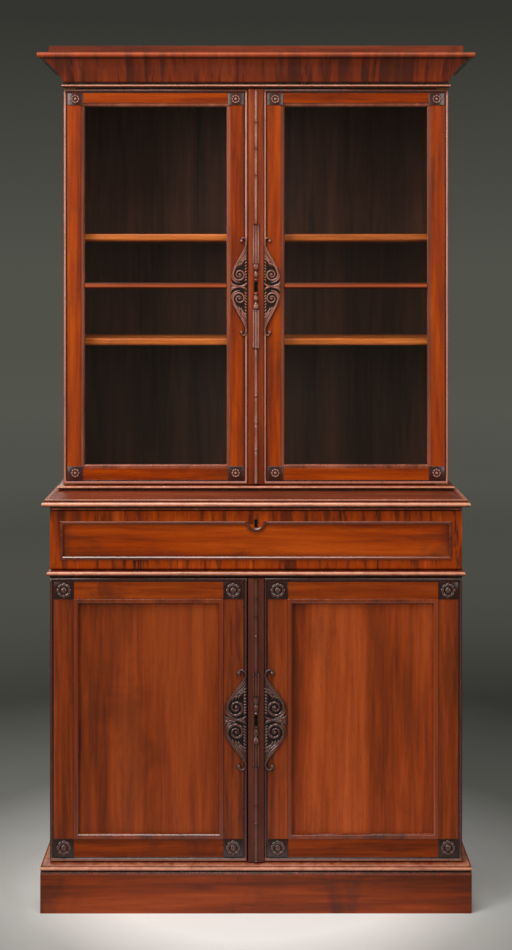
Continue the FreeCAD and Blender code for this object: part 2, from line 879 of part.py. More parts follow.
# The upper half of a scroll's outline, from its middle to its tip, as shares of its width and height
SCROLL_EDGE = (
    (0.97, 0.0), (1.0, 0.03), (0.87, 0.055), (0.95, 0.1), (0.94, 0.14), (0.85, 0.18), (0.71, 0.215),
    (0.5, 0.26), (0.34, 0.32), (0.26, 0.38), (0.25, 0.43), (0.37, 0.44), (0.44, 0.47), (0.38, 0.495),
    (0.25, 0.5), (0.1, 0.49), (0.0, 0.46),
)
# A volute: its place as shares of the scroll's width and height, and its rim, hollow and eye, each with
# a radius as a share of the width and a level as a share of the volute's height
VOLUTE_OUT = 0.5
VOLUTE_UP = 0.118
VOLUTE_RINGS = {"rim": (0.41, 0.7), "hollow": (0.3, 0.1), "eye": (0.14, 1.0)}


def scroll(name, stage, side, edge):
    """A carved scroll beside the meeting strip: two stems, a flare between them and two volutes."""
    body = doc.addObject("PartDesign::Body", name)
    wide = stage.carving_width
    tall = stage.carving_height
    shares = [(across, -up) for across, up in reversed(SCROLL_EDGE[1:])] + list(SCROLL_EDGE)
    outline = [(wide * (across * side), tall * up) for across, up in shares]
    pad(body, f"{name}_leaf", sketch_on(body, f"{name}_outline", "XY_Plane", [outline]), S.applique_thick)
    for end, sign in ENDS.items():
        for word, (radius, level) in VOLUTE_RINGS.items():
            ring = ring_points(wide * radius, FACETS)
            outline = [(wide * (VOLUTE_OUT * side) + x, tall * (VOLUTE_UP * sign) + y) for x, y in ring]
            floor = S.applique_thick + S.volute_proud * level
            hollow = word == "hollow"
            prism(body, f"{name}_{end}_{word}", "XY_Plane", outline, floor if hollow else S.applique_thick,
                  S.volute_proud if hollow else S.volute_proud * level, hollow)
    place(body, edge, stage.face, (stage.low + stage.high) / 2, turned((1, 0, 0), 90))
    return body


def carvings(stage_name, word):
    """The corner rosettes and the scroll of one door."""
    stage = STAGES[stage_name]
    side = SIDES[word]
    name = f"{stage_name}_{word}_door"
    meeting, near, far = door_edges(stage, side)
    pieces = []
    for column, x in (("outer", far + stage.stile / 2), ("inner", near - stage.stile / 2)):
        for row, z in (("low", stage.low + stage.bottom_rail / 2), ("high", stage.high - stage.top_rail / 2)):
            pieces.append(rosette(f"{name}_{column}_{row}_rosette", stage.block, x * side, stage.face, z))
    pieces.append(scroll(f"{name}_scroll", stage, side, (near - stage.stile) * side))
    node(f"{name}_carvings", pieces)


def key_middle(stage):
    return (stage.low + stage.high) / 2


def keyhole(name, stage, y):
    """The round key way through the pieces in front of a lock, from y towards the front."""
    length = y - stage.face + S.strip_thick + S.thick_reed_radius
    return rod(name, S.key_radius, length, 0, y, key_middle(stage), turned((1, 0, 0), 90))


def lock_planes(stage):
    """The x, y and z planes of a door lock, at the meeting edge and flush with the back of the door."""
    edge = -(S.strip_width / 2)
    back = stage.face + S.door_thick
    middle = key_middle(stage)
    half = S.lock_height / 2
    return (edge, edge + S.lock_width), (back - S.lock_depth, back), (middle - half, middle + half)


def bolt_planes(stage, play):
    """The x, y and z planes of a door lock's bolt, with play all round but at its tip."""
    x, y, z = lock_planes(stage)
    middle_y = (y[0] + y[1]) / 2
    deep = S.bolt_thick / 2 + play
    tall = S.bolt_height / 2 + play
    middle = key_middle(stage)
    x = (x[0], x[1] - S.lock_wall + play)
    return x, (middle_y - deep, middle_y + deep), (middle - tall, middle + tall)


def lock_recess(name, stage):
    x, y, z = lock_planes(stage)
    room = board(f"{name}_lock_room", x, y, z)
    return [fuse(f"{name}_lock_way", [room, keyhole(f"{name}_key_way", stage, y[0])])]


def bolt_mortise(name, stage):
    x, y, z = bolt_planes(stage, S.bolt_play)
    edge = x[0] - S.meeting_gap
    return [board(f"{name}_bolt_mortise", (edge - S.bolt_travel, edge), y, z)]


def lock(stage_name):
    stage = STAGES[stage_name]
    name = f"{stage_name}_door_lock"
    x, y, z = lock_planes(stage)
    case = board(f"{name}_case", x, y, z)
    bolt = board(f"{name}_tongue", *bolt_planes(stage, as_size(0)))
    tools = [fuse(f"{name}_hollow", [board(f"{name}_slide", *bolt_planes(stage, S.bolt_play)),
                                     keyhole(f"{name}_key_way", stage, (y[0] + y[1]) / 2)])]
    node(name, [cut(f"{name}_body", case, tools)])
    node(f"{stage_name}_door_bolt", [bolt])


def meeting_strip(stage_name):
    """The strip over the meeting of the doors: a flat ground, a faceted half reed, buds and collars."""
    stage = STAGES[stage_name]
    name = f"{stage_name}_meeting_strip"
    body = doc.addObject("PartDesign::Body", f"{name}_turning")
    half_width = S.strip_width / 2
    half = stage.height / 2
    ground = [(-half_width, -half), (half_width, -half), (half_width, half), (-half_width, half)]
    pad(body, f"{name}_ground", sketch_on(body, f"{name}_plan", "XY_Plane", [ground]), S.strip_thick)
    for end, sign in ENDS.items():
        bud = [(half_ring(radius), -(level * sign)) for radius, level in bud_rings()]
        loft(body, f"{name}_{end}_bud", "XZ_Plane", bud)
        for index, (radius, low, high) in enumerate(reed(half)):
            level = -(high * sign if sign > 0 else low * sign)
            prism(body, f"{name}_{end}_reed_{index}", "XZ_Plane", half_ring(radius), level, high - low)
    place(body, 0, stage.face, key_middle(stage), turned((1, 0, 0), 90))
    node(name, [cut(name, body, [keyhole(f"{name}_key_way", stage, stage.face)])])


def half_ring(radius):
    """The front half of a faceted ring that stands on the strip's ground."""
    return [(x, S.strip_thick + y) for x, y in ring_points(radius, FACETS)[:FACETS // 2 + 1]]


def bud_rings():
    """The radii and levels of the bud beside the keyhole."""
    start = S.bud_space / 2
    middle = start + S.bud_length / 2
    return [(S.bud_tip_radius, start), (S.bud_radius, middle), (S.thick_reed_radius, start + S.bud_length)]


def reed(half):
    """The radius, start and end of each length of half a reed, and of its collars."""
    joint = half * COLLARS[0]
    lengths = [(S.thick_reed_radius, S.bud_space / 2 + S.bud_length, joint), (S.reed_radius, joint, half)]
    rise = S.collar_height / 2
    for index, share in enumerate(COLLARS):
        level = half * share
        below = S.thick_reed_radius if index == 0 else S.reed_radius
        lengths.append((below + S.collar_proud, level - rise, level + rise))
    return lengths


def secretaire_box():
    """Sides and back of the big drawer, its desk board, the leather in it and the fall's straps."""
    y = (lower_front, drawer_back)
    z = (waist_high, drawer_high)
    walls = [board(f"secretaire_{word}_side", span(side, drawer_inner, drawer_half), y, z)
             for word, side in SIDES.items()]
    walls.append(board("secretaire_back", (-drawer_inner, drawer_inner), (nest_back, drawer_back), z))
    node("secretaire_carcase", walls)
    desk = board("desk_board", (-drawer_inner, drawer_inner), (lower_front, nest_back), (desk_low, desk_high))
    edge = drawer_inner - S.leather_border
    field = ((-edge, edge), (lower_front + S.leather_border, nest_front - S.leather_border),
             (desk_high - S.leather_thick, desk_high))
    node("secretaire_desk", [cut("desk_inlaid", desk, [board("leather_recess", *field)])])
    node("desk_leather", [board("leather_field", *field)])
    node("fall_hinge_straps", [strap(f"fall_strap_{index}", x) for index, x in enumerate(strap_middles())])


def strap_middles():
    return [lower_half * share for share in STRAP_SHARES]


def cross_rod(name, radius, length, middle, y, z):
    """A round piece along X, centred on its middle."""
    return rod(name, radius, length, middle - length / 2, y, z, turned((0, 1, 0), 90))


def strap(name, middle):
    """A brass strap under the desk, with an eye for the fall's pin."""
    half = S.strap_width / 2
    axis = (fall_axis_y, fall_axis_z)
    y = (fall_axis_y, fall_axis_y + S.strap_length)
    plate = board(f"{name}_plate", (middle - half, middle + half), y, (desk_low - S.strap_thick, desk_low))
    eye = cross_rod(f"{name}_eye", S.strap_eye_radius, S.strap_width, middle, *axis)
    bore = cross_rod(f"{name}_bore", S.fall_pin_radius + S.pin_play, S.strap_width, middle, *axis)
    return cut(name, fuse(f"{name}_blank", [plate, eye]), [bore])


def fall_front():
    """The fall: rounded about its pins below, with a sunk panel and room for straps, pins, lock and key."""
    body = doc.addObject("PartDesign::Body", "fall_board")
    turn = S.door_thick / 2
    outline = [(fall_back, fall_high), (fall_back, fall_low + turn, turn, -1), (fall_back - turn, fall_low)]
    outline += [(lower_face + S.fall_nose, fall_low, S.fall_nose, -1), (lower_face, fall_low + S.fall_nose)]
    outline += [(lower_face, fall_high)]
    section = sketch_on(body, "fall_section", "YZ_Plane", [outline])
    bind(section, "AttachmentOffset.Base.z", -lower_half)
    pad(body, "fall_pad", section, S.case_width)
    tools = []
    pins = []
    room = S.strap_eye_radius + S.hinge_clear
    length = S.strap_width + S.fall_pin_bite * 2
    for index, middle in enumerate(strap_middles()):
        half = S.strap_width / 2 + S.hinge_clear
        notch = board(f"fall_notch_{index}", (middle - half, middle + half), (fall_axis_y - room, fall_back),
                      (fall_low, fall_axis_z + room))
        axis = (fall_axis_y, fall_axis_z)
        bore = cross_rod(f"fall_bore_{index}", S.fall_pin_radius + S.pin_play, length, middle, *axis)
        tools.append(fuse(f"fall_hinge_room_{index}", [notch, bore]))
        pins.append(cross_rod(f"fall_pin_{index}", S.fall_pin_radius, length, middle, *axis))
    node("fall_hinge_pins", pins)
    lock_room = board("fall_lock_room", *fall_lock_planes())
    tools.append(fuse("fall_lock_way", [lock_room, fall_keyhole("fall_key_way", fall_back - S.lock_depth)]))
    tools.append(fall_panel_room())
    node("fall_front", [cut("fall_fitted", body, tools)])


def fall_panel_planes():
    """The side edge, low edge and high edge of the fall's sunk panel."""
    margin = S.fall_border + S.fall_moulding
    return lower_half - margin, fall_low + margin, fall_high - margin


def fall_panel_room():
    """The shallow recess in front of the panel, drawn in round the key's half ring."""
    body = doc.addObject("PartDesign::Body", "fall_panel_room")
    edge, low, high = fall_panel_planes()
    ring = S.key_arch_radius
    reach = root(ring * ring - S.fall_moulding * S.fall_moulding)
    outline = [(-edge, low), (edge, low), (edge, high)]
    outline += [(reach, high, ring, -1), (-reach, high), (-edge, high)]
    sketch = sketch_on(body, "fall_panel_outline", "XY_Plane", [outline])
    pad(body, "fall_panel_pad", sketch, S.fall_panel_recess)
    place(body, 0, lower_face + S.fall_panel_recess, 0, turned((1, 0, 0), 90))
    return body


def fall_lock_planes():
    half = S.lock_height / 2
    return (-half, half), (fall_back - S.lock_depth, fall_back), (fall_high - S.fall_lock_height, fall_high)


def fall_keyhole(name, y):
    return rod(name, S.key_radius, y - lower_face, 0, y, fall_high - S.fall_key_drop, turned((1, 0, 0), 90))


def fall_bolt_planes(play):
    half = S.bolt_height / 2 + play
    deep = S.bolt_thick / 2 + play
    low = fall_high - S.fall_lock_height + S.lock_wall - play
    return (-half, half), (fall_bolt_y - deep, fall_bolt_y + deep), (low, fall_high)


def fall_lock():
    case = board("fall_lock_case", *fall_lock_planes())
    slide = board("fall_lock_slide", *fall_bolt_planes(S.bolt_play))
    hollow = fuse("fall_lock_hollow", [slide, fall_keyhole("fall_lock_key_way", fall_bolt_y)])
    node("fall_lock", [cut("fall_lock_body", case, [hollow])])
    node("fall_bolt", [board("fall_tongue", *fall_bolt_planes(as_size(0)))])


def fall_moulding():
    """A bead round the fall's panel; its top length dips under the keyhole in a half ring."""
    out = S.fall_moulding
    ring = S.key_arch_radius
    crest = S.fall_moulding_proud
    slope = out / 4
    section = [(0, 0), (-out, 0), (-out, crest / 2), (slope - out, crest), (-slope, crest), (0, crest / 2)]
    edge, low, high = fall_panel_planes()
    width = edge * 2
    height = high - low
    flat = turned((1, 0, 0), 90)
    none = as_size(0)
    top = edge - ring
    lengths = (
        ("bottom", width, (True, True), -edge, low, 0),
        ("right", height, (True, True), edge, low, -90),
        ("left", height, (True, True), -edge, high, 90),
        ("top_right", top, (True, False), edge, high, 180),
        ("top_left", top, (False, True), -ring, high, 180),
    )
    runs = []
    for word, length, ends, x, z, angle in lengths:
        run = mitred_run(f"fall_bead_{word}", section, length, ends, out, none)
        place(run, x, lower_face, z, turned((0, 1, 0), angle).multiply(flat))
        runs.append(run)
    arch = doc.addObject("PartDesign::Body", "fall_bead_arch")
    outline = [(ring + x, z) for x, z in section]
    profile = sketch_on(arch, "fall_arch_section", "XZ_Plane", [outline])
    sweep = arch.newObject("PartDesign::Revolution", "fall_arch_turned")
    sweep.Profile = profile
    sweep.ReferenceAxis = (profile, ["V_Axis"])
    sweep.Angle = 180
    sweep.Reversed = True
    place(arch, 0, lower_face, high + out, flat)
    node("fall_moulding", [*runs, arch])


def quadrants():
    """Brass stays: quarter rings about the fall's pins, with a foot on the back of the fall."""
    pieces = []
    near = S.door_thick / 2
    rise = S.desk_thick / 2 + S.door_thick / 2
    inner = S.quadrant_radius - S.quadrant_width / 2
    outer = S.quadrant_radius + S.quadrant_width / 2
    for word, side in SIDES.items():
        name = f"{word}_quadrant"
        body = doc.addObject("PartDesign::Body", name)
        tips = [root(radius * radius - rise * rise) for radius in (inner, outer)]
        tops = [root(radius * radius - near * near) for radius in (inner, outer)]
        outline = [(tips[0], rise), (tips[1], rise, outer, 1), (near, tops[1]), (near, tops[0], inner, -1)]
        section = sketch_on(body, f"{name}_section", "YZ_Plane", [outline])
        x = span(side, drawer_inner - S.drawer_play - S.quadrant_thick, drawer_inner - S.drawer_play)
        pad(body, f"{name}_pad", section, S.quadrant_thick)
        place(body, x[0], fall_axis_y, fall_axis_z)
        foot_x = span(side, drawer_inner - S.drawer_play - S.quadrant_foot, drawer_inner - S.drawer_play)
        middle = fall_axis_z + S.quadrant_radius
        foot = board(f"{name}_foot", foot_x, (fall_back, fall_back + S.quadrant_thick),
                     (middle - S.quadrant_foot, middle + S.quadrant_width / 2))
        pieces.append(fuse(f"{name}_stay", [body, foot]))
    node("fall_quadrants", pieces)


def pigeonholes():
    """The nest at the back of the desk: a row of open holes, and a small drawer under the end ones."""
    y = (nest_front, nest_back)
    leaf = S.nest_board
    top = drawer_high - leaf
    pieces = [board("nest_top", (-drawer_inner, drawer_inner), y, (top, drawer_high))]
    near = drawer_inner - leaf - S.nest_drawer_width - leaf
    shelf_low = desk_high + S.nest_drawer_height
    upright = (desk_high, top)
    for word, side in SIDES.items():
        end_x = span(side, drawer_inner - leaf, drawer_inner)
        pieces.append(board(f"nest_{word}_end", end_x, y, upright))
        pieces.append(board(f"nest_{word}_wall", span(side, near, near + leaf), y, upright))
        shelf_x = span(side, near + leaf, drawer_inner - leaf)
        pieces.append(board(f"nest_{word}_shelf", shelf_x, y, (shelf_low, shelf_low + leaf)))
    pitch = near * 2 / NEST_HOLES
    for index in range(1, NEST_HOLES):
        middle = pitch * index - near
        pieces.append(board(f"nest_divider_{index}", (middle - leaf / 2, middle + leaf / 2), y, upright))
    node("pigeonholes", pieces)


def small_drawer(word):
    """A little drawer of five boards with a turned knob."""
    side = SIDES[word]
    name = f"{word}_small_drawer"
    near = drawer_inner - S.nest_board - S.nest_drawer_width + S.small_play
    far = drawer_inner - S.nest_board - S.small_play
    wall = S.small_wall
    x = (near, far)
    y = (nest_front, nest_back - S.small_play)
    z = (desk_high, desk_high + S.nest_drawer_height - S.small_play)
    inner = (near + wall, far - wall)
    bottom = (desk_high, desk_high + S.small_bottom)
    above = (desk_high + S.small_bottom, z[1])
    pieces = [
        board(f"{name}_front", span(side, *x), (y[0], y[0] + wall), z),
        board(f"{name}_near", span(side, near, near + wall), (y[0] + wall, y[1]), z),
        board(f"{name}_far", span(side, far - wall, far), (y[0] + wall, y[1]), z),
        board(f"{name}_back", span(side, *inner), (y[1] - wall, y[1]), above),
        board(f"{name}_bottom", span(side, *inner), (y[0] + wall, y[1]), bottom),
        knob(f"{name}_knob", (near + far) / 2 * side, y[0], (z[0] + z[1]) / 2),
    ]
    node(name, pieces)


def knob(name, x, y, z):
    """A faceted knob that stands out towards the front."""
    body = doc.addObject("PartDesign::Body", name)
    length = S.knob_length
    ball = S.knob_radius
    rings = ((ball / 2, as_size(0)), (ball / 2, length / 3), (ball, length / 1.5), (ball * 0.75, length))
    sections = [(ring_points(radius, FACETS), level) for radius, level in rings]
    loft(body, f"{name}_turned", "XY_Plane", sections)
    place(body, x, y, z, turned((1, 0, 0), 90))
    return body


def export():
    """Checks every object, then writes one STEP file for each node."""
    doc.recompute()
    broken = [item.Name for item in doc.Objects if "Invalid" in item.State or "Error" in item.State]
    for label, piece in nodes.items():
        if piece.Shape.isNull() or not piece.Shape.isValid() or not piece.Shape.Solids:
            broken.append(label)
    if broken:
        raise RuntimeError(f"not built: {broken}")
    os.makedirs("parts", exist_ok=True)
    for label, piece in nodes.items():
        piece.Shape.exportStep(f"parts/{label}.step")


plinth()
lower_case()
upper_case()
cornice()
hinges()
for stage_word in STAGES:
    for side_word in SIDES:
        door_frame(stage_word, side_word)
        carvings(stage_word, side_word)
    lock(stage_word)
    meeting_strip(stage_word)
for side_word in SIDES:
    glazing(side_word)
    panelling(side_word)
    small_drawer(side_word)
secretaire_box()
pigeonholes()
fall_front()
fall_lock()
fall_moulding()
quadrants()
export()
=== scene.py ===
"""Looks of the secretaire bookcase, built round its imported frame.

Metres. +Z is up, the doors face -Y, and the origin is at the middle of the base.
"""
import bmesh
import bpy
import math
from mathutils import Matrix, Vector


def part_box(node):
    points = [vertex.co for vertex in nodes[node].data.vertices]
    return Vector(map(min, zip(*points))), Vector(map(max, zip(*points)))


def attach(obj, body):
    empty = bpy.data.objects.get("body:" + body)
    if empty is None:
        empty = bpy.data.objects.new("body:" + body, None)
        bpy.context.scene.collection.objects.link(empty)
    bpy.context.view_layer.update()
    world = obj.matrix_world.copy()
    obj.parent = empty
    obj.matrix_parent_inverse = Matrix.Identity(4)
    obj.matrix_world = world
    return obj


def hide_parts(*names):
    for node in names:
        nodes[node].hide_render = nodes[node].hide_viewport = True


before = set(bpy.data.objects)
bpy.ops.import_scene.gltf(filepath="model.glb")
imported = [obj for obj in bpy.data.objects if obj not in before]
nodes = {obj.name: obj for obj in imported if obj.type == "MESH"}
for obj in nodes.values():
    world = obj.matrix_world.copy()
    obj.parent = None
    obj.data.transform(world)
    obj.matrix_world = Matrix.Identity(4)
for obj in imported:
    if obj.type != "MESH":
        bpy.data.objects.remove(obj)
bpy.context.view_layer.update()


def srgb(red, green, blue):
    """A colour given as screen values from 0 to 255, in linear light."""
    def linear(value):
        share = value / 255
        return share / 12.92 if share <= 0.04045 else ((share + 0.055) / 1.055) ** 2.4
    return (linear(red), linear(green), linear(blue), 1.0)


def tones(*colours):
    """Several colours, each given as three screen values."""
    return tuple(srgb(*colour) for colour in colours)


class Nodes:
    """A node tree, with short calls that add and join nodes."""

    def __init__(self, tree):
        self.tree = tree

    def feed(self, socket, value):
        if isinstance(value, bpy.types.NodeSocket):
            self.tree.links.new(value, socket)
        else:
            socket.default_value = value

    def node(self, kind, inputs=None, **settings):
        made = self.tree.nodes.new(kind)
        for key, value in settings.items():
            setattr(made, key, value)
        for key, value in (inputs or {}).items():
            self.feed(made.inputs[key], value)
        return made

    def ramp(self, factor, stops):
        made = self.node("ShaderNodeValToRGB", {"Fac": factor})
        elements = made.color_ramp.elements
        while len(elements) < len(stops):
            elements.new(0.5)
        for element, (position, colour) in zip(elements, stops):
            element.position = position
            element.color = colour
        return made.outputs["Color"]

    def calc(self, first, second, operation="ADD"):
        return self.node("ShaderNodeMath", {0: first, 1: second}, operation=operation).outputs["Value"]


MATERIALS = {}


class Graph(Nodes):
    """The node tree of a new material, which is kept by its name."""

    def __init__(self, name):
        self.material = bpy.data.materials.new(name)
        MATERIALS[name] = self.material
        self.material.use_nodes = True
        super().__init__(self.material.node_tree)
        self.shader = self.tree.nodes["Principled BSDF"]
        self.place = self.node("ShaderNodeTexCoord").outputs["Object"]

    def shade(self, **values):
        """Sets the shader's sockets; an underscore stands for a space."""
        for key, value in values.items():
            self.feed(self.shader.inputs[key.replace("_", " ")], value)

    def stretched(self, scale, shift=(0, 0, 0)):
        inputs = {"Vector": self.place, "Scale": scale, "Location": shift}
        return self.node("ShaderNodeMapping", inputs).outputs["Vector"]

    def noise(self, vector, scale, detail=4.0, roughness=0.55, distortion=0.0):
        inputs = {"Vector": vector, "Scale": scale, "Detail": detail, "Roughness": roughness,
                  "Distortion": distortion}
        return self.node("ShaderNodeTexNoise", inputs).outputs["Fac"]

    def spread(self, value, low, high, to_low=0.0, to_high=1.0):
        """Maps a range of values to another range, with a smooth step."""
        inputs = {"Value": value, "From Min": low, "From Max": high, "To Min": to_low, "To Max": to_high}
        return self.node("ShaderNodeMapRange", inputs, interpolation_type="SMOOTHSTEP").outputs["Result"]

    def mix(self, factor, first, second):
        made = self.node("ShaderNodeMix", data_type="RGBA")
        self.feed(made.inputs["Factor"], factor)
        self.feed(made.inputs["A"], first)
        self.feed(made.inputs["B"], second)
        return made.outputs["Result"]

    def axis(self, letter):
        return self.node("ShaderNodeSeparateXYZ", {"Vector": self.place}).outputs[letter]

    def bump(self, height, strength, distance):
        inputs = {"Height": height, "Strength": strength, "Distance": distance}
        self.shade(Normal=self.node("ShaderNodeBump", inputs).outputs["Normal"])


COAT_ROUGHNESS = 0.16
# How far a wood's figure is drawn out along its grain
DRAWN = 0.06
ALONG = {"x": (DRAWN, 1.0, 1.0), "z": (1.0, 1.0, DRAWN), "level": (DRAWN, DRAWN, 1.0)}


def grained(graph, dark, middle, light, along, shift, figure):
    """The colour of a wood, with its streaks and its pores."""
    grain = graph.stretched(ALONG[along], (shift, shift * 0.7, shift * 1.3))
    broad = graph.noise(grain, scale=9.0, detail=3.0, roughness=0.5, distortion=0.8)
    streaks = graph.noise(grain, scale=70.0, detail=5.0, roughness=0.62, distortion=0.4)
    pores = graph.noise(grain, scale=800.0, detail=2.0, roughness=0.5)
    tone = graph.calc(graph.calc(broad, figure, "MULTIPLY"), graph.calc(streaks, 1 - figure, "MULTIPLY"))
    colour = graph.ramp(tone, [(0.36, dark), (0.5, middle), (0.63, light)])
    pore_mask = graph.spread(pores, 0.6, 0.72, 0.0, 0.5)
    return graph.mix(pore_mask, colour, dark), streaks, pore_mask


def level_lines(graph, colour, lines):
    """Tints a colour along levels: each line has a level, a reach, a tint and a weight."""
    height = graph.axis("Z")
    for level, reach, tint, weight in lines:
        away = graph.calc(graph.calc(height, level, "SUBTRACT"), 0.0, "ABSOLUTE")
        colour = graph.mix(graph.spread(away, 0.0, reach, weight, 0.0), colour, tint)
    return colour


def wood(name, dark, middle, light, along, shift=0.0, figure=0.5, gloss=0.36, shine=0.22, coat=0.06,
         blotch=0.35, gloom=None, inner=None, lines=()):
    """Polished wood with dark blotches.

    Gloom gives the half width where it is darkest and the one where that ends. It is dark within inner.
    """
    graph = Graph(name)
    colour, streaks, pore_mask = grained(graph, dark, middle, light, along, shift, figure)
    cloud_place = graph.stretched((1.0, 1.0, 0.55), (shift, shift, shift))
    clouds = graph.noise(cloud_place, scale=7.0, detail=4.0, roughness=0.6, distortion=0.6)
    colour = graph.mix(graph.spread(clouds, 0.52, 0.72, 0.0, blotch), colour, SHADE)
    across = graph.calc(graph.axis("X"), 0.0, "ABSOLUTE")
    if gloom:
        near = graph.spread(across, *gloom, 1.0, 0.0)
        patchy = graph.calc(near, graph.spread(streaks, 0.25, 0.6, 1.0, 0.35), "MULTIPLY")
        colour = graph.mix(graph.calc(patchy, 0.75, "MULTIPLY"), colour, SHADE)
    if inner:
        colour = graph.mix(graph.spread(across, inner, inner + 0.001, 0.85, 0.0), colour, INSIDE[0])
    colour = level_lines(graph, colour, lines)
    graph.shade(Base_Color=colour, Roughness=graph.spread(streaks, 0.3, 0.7, gloss + 0.1, gloss - 0.04))
    graph.shade(Specular_IOR_Level=shine, Coat_Weight=coat, Coat_Roughness=COAT_ROUGHNESS)
    graph.bump(graph.calc(streaks, pore_mask, "SUBTRACT"), strength=0.1, distance=0.0004)


def bands(graph, colours, shift=0.0):
    """Cross-banded veneer: narrow dark bands among red ones, all up and down."""
    grain = graph.stretched((1.0, 0.08, 0.1), (shift, shift, shift))
    wide = graph.noise(grain, scale=15.0, detail=3.0, roughness=0.6, distortion=0.6)
    narrow = graph.noise(grain, scale=46.0, detail=4.0, roughness=0.6, distortion=0.5)
    lines = graph.noise(grain, scale=300.0, detail=3.0, roughness=0.6)
    tone = graph.calc(graph.calc(wide, 0.3, "MULTIPLY"), graph.calc(lines, 0.3, "MULTIPLY"))
    tone = graph.calc(tone, graph.calc(narrow, 0.4, "MULTIPLY"))
    dark, middle, light = colours
    colour = graph.ramp(tone, [(0.4, dark), (0.46, middle), (0.52, middle), (0.6, light)])
    broad_dark = graph.noise(grain, scale=24.0, detail=1.0, roughness=0.4, distortion=0.5)
    fine_dark = graph.noise(grain, scale=58.0, detail=1.0, roughness=0.4, distortion=0.6)
    patches = graph.spread(broad_dark, 0.55, 0.66, 0.0, 0.8)
    stripes = graph.spread(fine_dark, 0.54, 0.68, 0.0, 0.65)
    return graph.mix(graph.calc(patches, stripes, "MAXIMUM"), colour, dark), lines


def banded(name, colours, level_tints):
    """Cross-banded veneer with tints along levels, which include painted highlights and painted shadow."""
    graph = Graph(name)
    colour, lines = bands(graph, colours)
    colour = level_lines(graph, colour, level_tints)
    graph.shade(Base_Color=colour, Roughness=graph.spread(lines, 0.3, 0.7, 0.42, 0.3))
    graph.shade(Specular_IOR_Level=0.3, Coat_Weight=0.15, Coat_Roughness=COAT_ROUGHNESS)
    graph.bump(lines, strength=0.08, distance=0.0004)


# From the outside of the fall's moulding to the field within it
PANEL_RIM = 0.008
END_SHADE = 0.03
LOW_SHADE = 0.014


def veneered_fall():
    """The fall: a panel with level figure inside a cross-banded border."""
    panel_low, panel_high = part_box("fall_moulding")
    half_width = panel_high.x - PANEL_RIM
    low = panel_low.z + PANEL_RIM
    high = panel_high.z - PANEL_RIM
    graph = Graph("fall_veneer")
    field, streaks, _ = grained(graph, *FALL, "x", shift=13.0, figure=0.6)
    cloud_place = graph.stretched((0.5, 1.0, 1.6), (3.0, 3.0, 3.0))
    clouds = graph.noise(cloud_place, scale=8.0, detail=4.0, roughness=0.6, distortion=0.8)
    field = graph.mix(graph.spread(clouds, 0.5, 0.7, 0.0, 0.5), field, SHADE)
    border, lines = bands(graph, (SHADE, *FALL[1:]), shift=5.0)
    across = graph.calc(graph.axis("X"), 0.0, "ABSOLUTE")
    outside = graph.calc(across, half_width, "GREATER_THAN")
    below = graph.calc(graph.axis("Z"), low, "LESS_THAN")
    above = graph.calc(graph.axis("Z"), high, "GREATER_THAN")
    mask = graph.calc(outside, graph.calc(below, above, "MAXIMUM"), "MAXIMUM")
    near_end = graph.spread(across, half_width - END_SHADE, half_width, 0.0, 0.5)
    near_low = graph.spread(graph.axis("Z"), low, low + LOW_SHADE, 0.5, 0.0)
    field = graph.mix(graph.calc(near_end, near_low, "MAXIMUM"), field, SHADE)
    graph.shade(Base_Color=graph.mix(mask, field, border))
    graph.shade(Roughness=graph.spread(streaks, 0.3, 0.7, 0.42, 0.3), Specular_IOR_Level=0.16)
    graph.shade(Coat_Weight=0.06, Coat_Roughness=COAT_ROUGHNESS)
    graph.bump(graph.calc(streaks, lines), strength=0.07, distance=0.0004)


def carved(name, hollow, body, crest, gloss, along="z", coat=0.3):
    """Carved wood, dark in its hollows, as patina and as painted shade, and pale on its crests, as wear and
    as a painted highlight.
    """
    graph = Graph(name)
    relief = graph.node("ShaderNodeAttribute", attribute_name="relief").outputs["Fac"]
    wear = graph.noise(graph.place, scale=55.0, detail=4.0, roughness=0.6)
    streaks = graph.noise(graph.stretched(ALONG[along]), scale=160.0, detail=4.0, roughness=0.6)
    height = graph.calc(relief, graph.calc(graph.calc(wear, 0.5, "SUBTRACT"), 0.5, "MULTIPLY"))
    colour = graph.ramp(height, [(0.12, hollow), (0.5, body), (0.95, crest)])
    colour = graph.mix(graph.spread(streaks, 0.5, 0.75, 0.0, 0.5), colour, hollow)
    graph.shade(Base_Color=colour, Roughness=graph.spread(wear, 0.3, 0.7, gloss + 0.12, gloss - 0.04))
    graph.shade(Specular_IOR_Level=0.5, Coat_Weight=coat, Coat_Roughness=0.2)
    graph.bump(streaks, strength=0.1, distance=0.0003)


def keyway():
    """A near-black plate of painted shade that stands for the inside of a keyhole."""
    graph = Graph("keyhole_painted_shade")
    speckle = graph.noise(graph.place, scale=500.0, detail=3.0)
    graph.shade(Base_Color=graph.ramp(speckle, [(0.4, srgb(6, 4, 3)), (0.7, srgb(20, 13, 9))]))
    graph.shade(Roughness=0.8, Specular_IOR_Level=0.1)
    graph.bump(speckle, strength=0.2, distance=0.0005)


def glass():
    """Clear panes that let the lamps' light through."""
    graph = Graph("pane_glass")
    graph.shade(Base_Color=srgb(236, 244, 240), Roughness=0.02, IOR=1.45, Transmission_Weight=1.0)
    graph.shade(Specular_IOR_Level=0.3)
    ripple = graph.noise(graph.stretched((1.0, 1.0, 0.6)), scale=9.0, detail=2.0)
    graph.bump(ripple, strength=0.05, distance=0.002)
    clear = graph.node("ShaderNodeBsdfTransparent").outputs["BSDF"]
    shadow = graph.node("ShaderNodeLightPath").outputs["Is Shadow Ray"]
    body = graph.shader.outputs["BSDF"]
    blend = graph.node("ShaderNodeMixShader", {0: shadow, 1: body, 2: clear})
    graph.feed(graph.tree.nodes["Material Output"].inputs["Surface"], blend.outputs["Shader"])


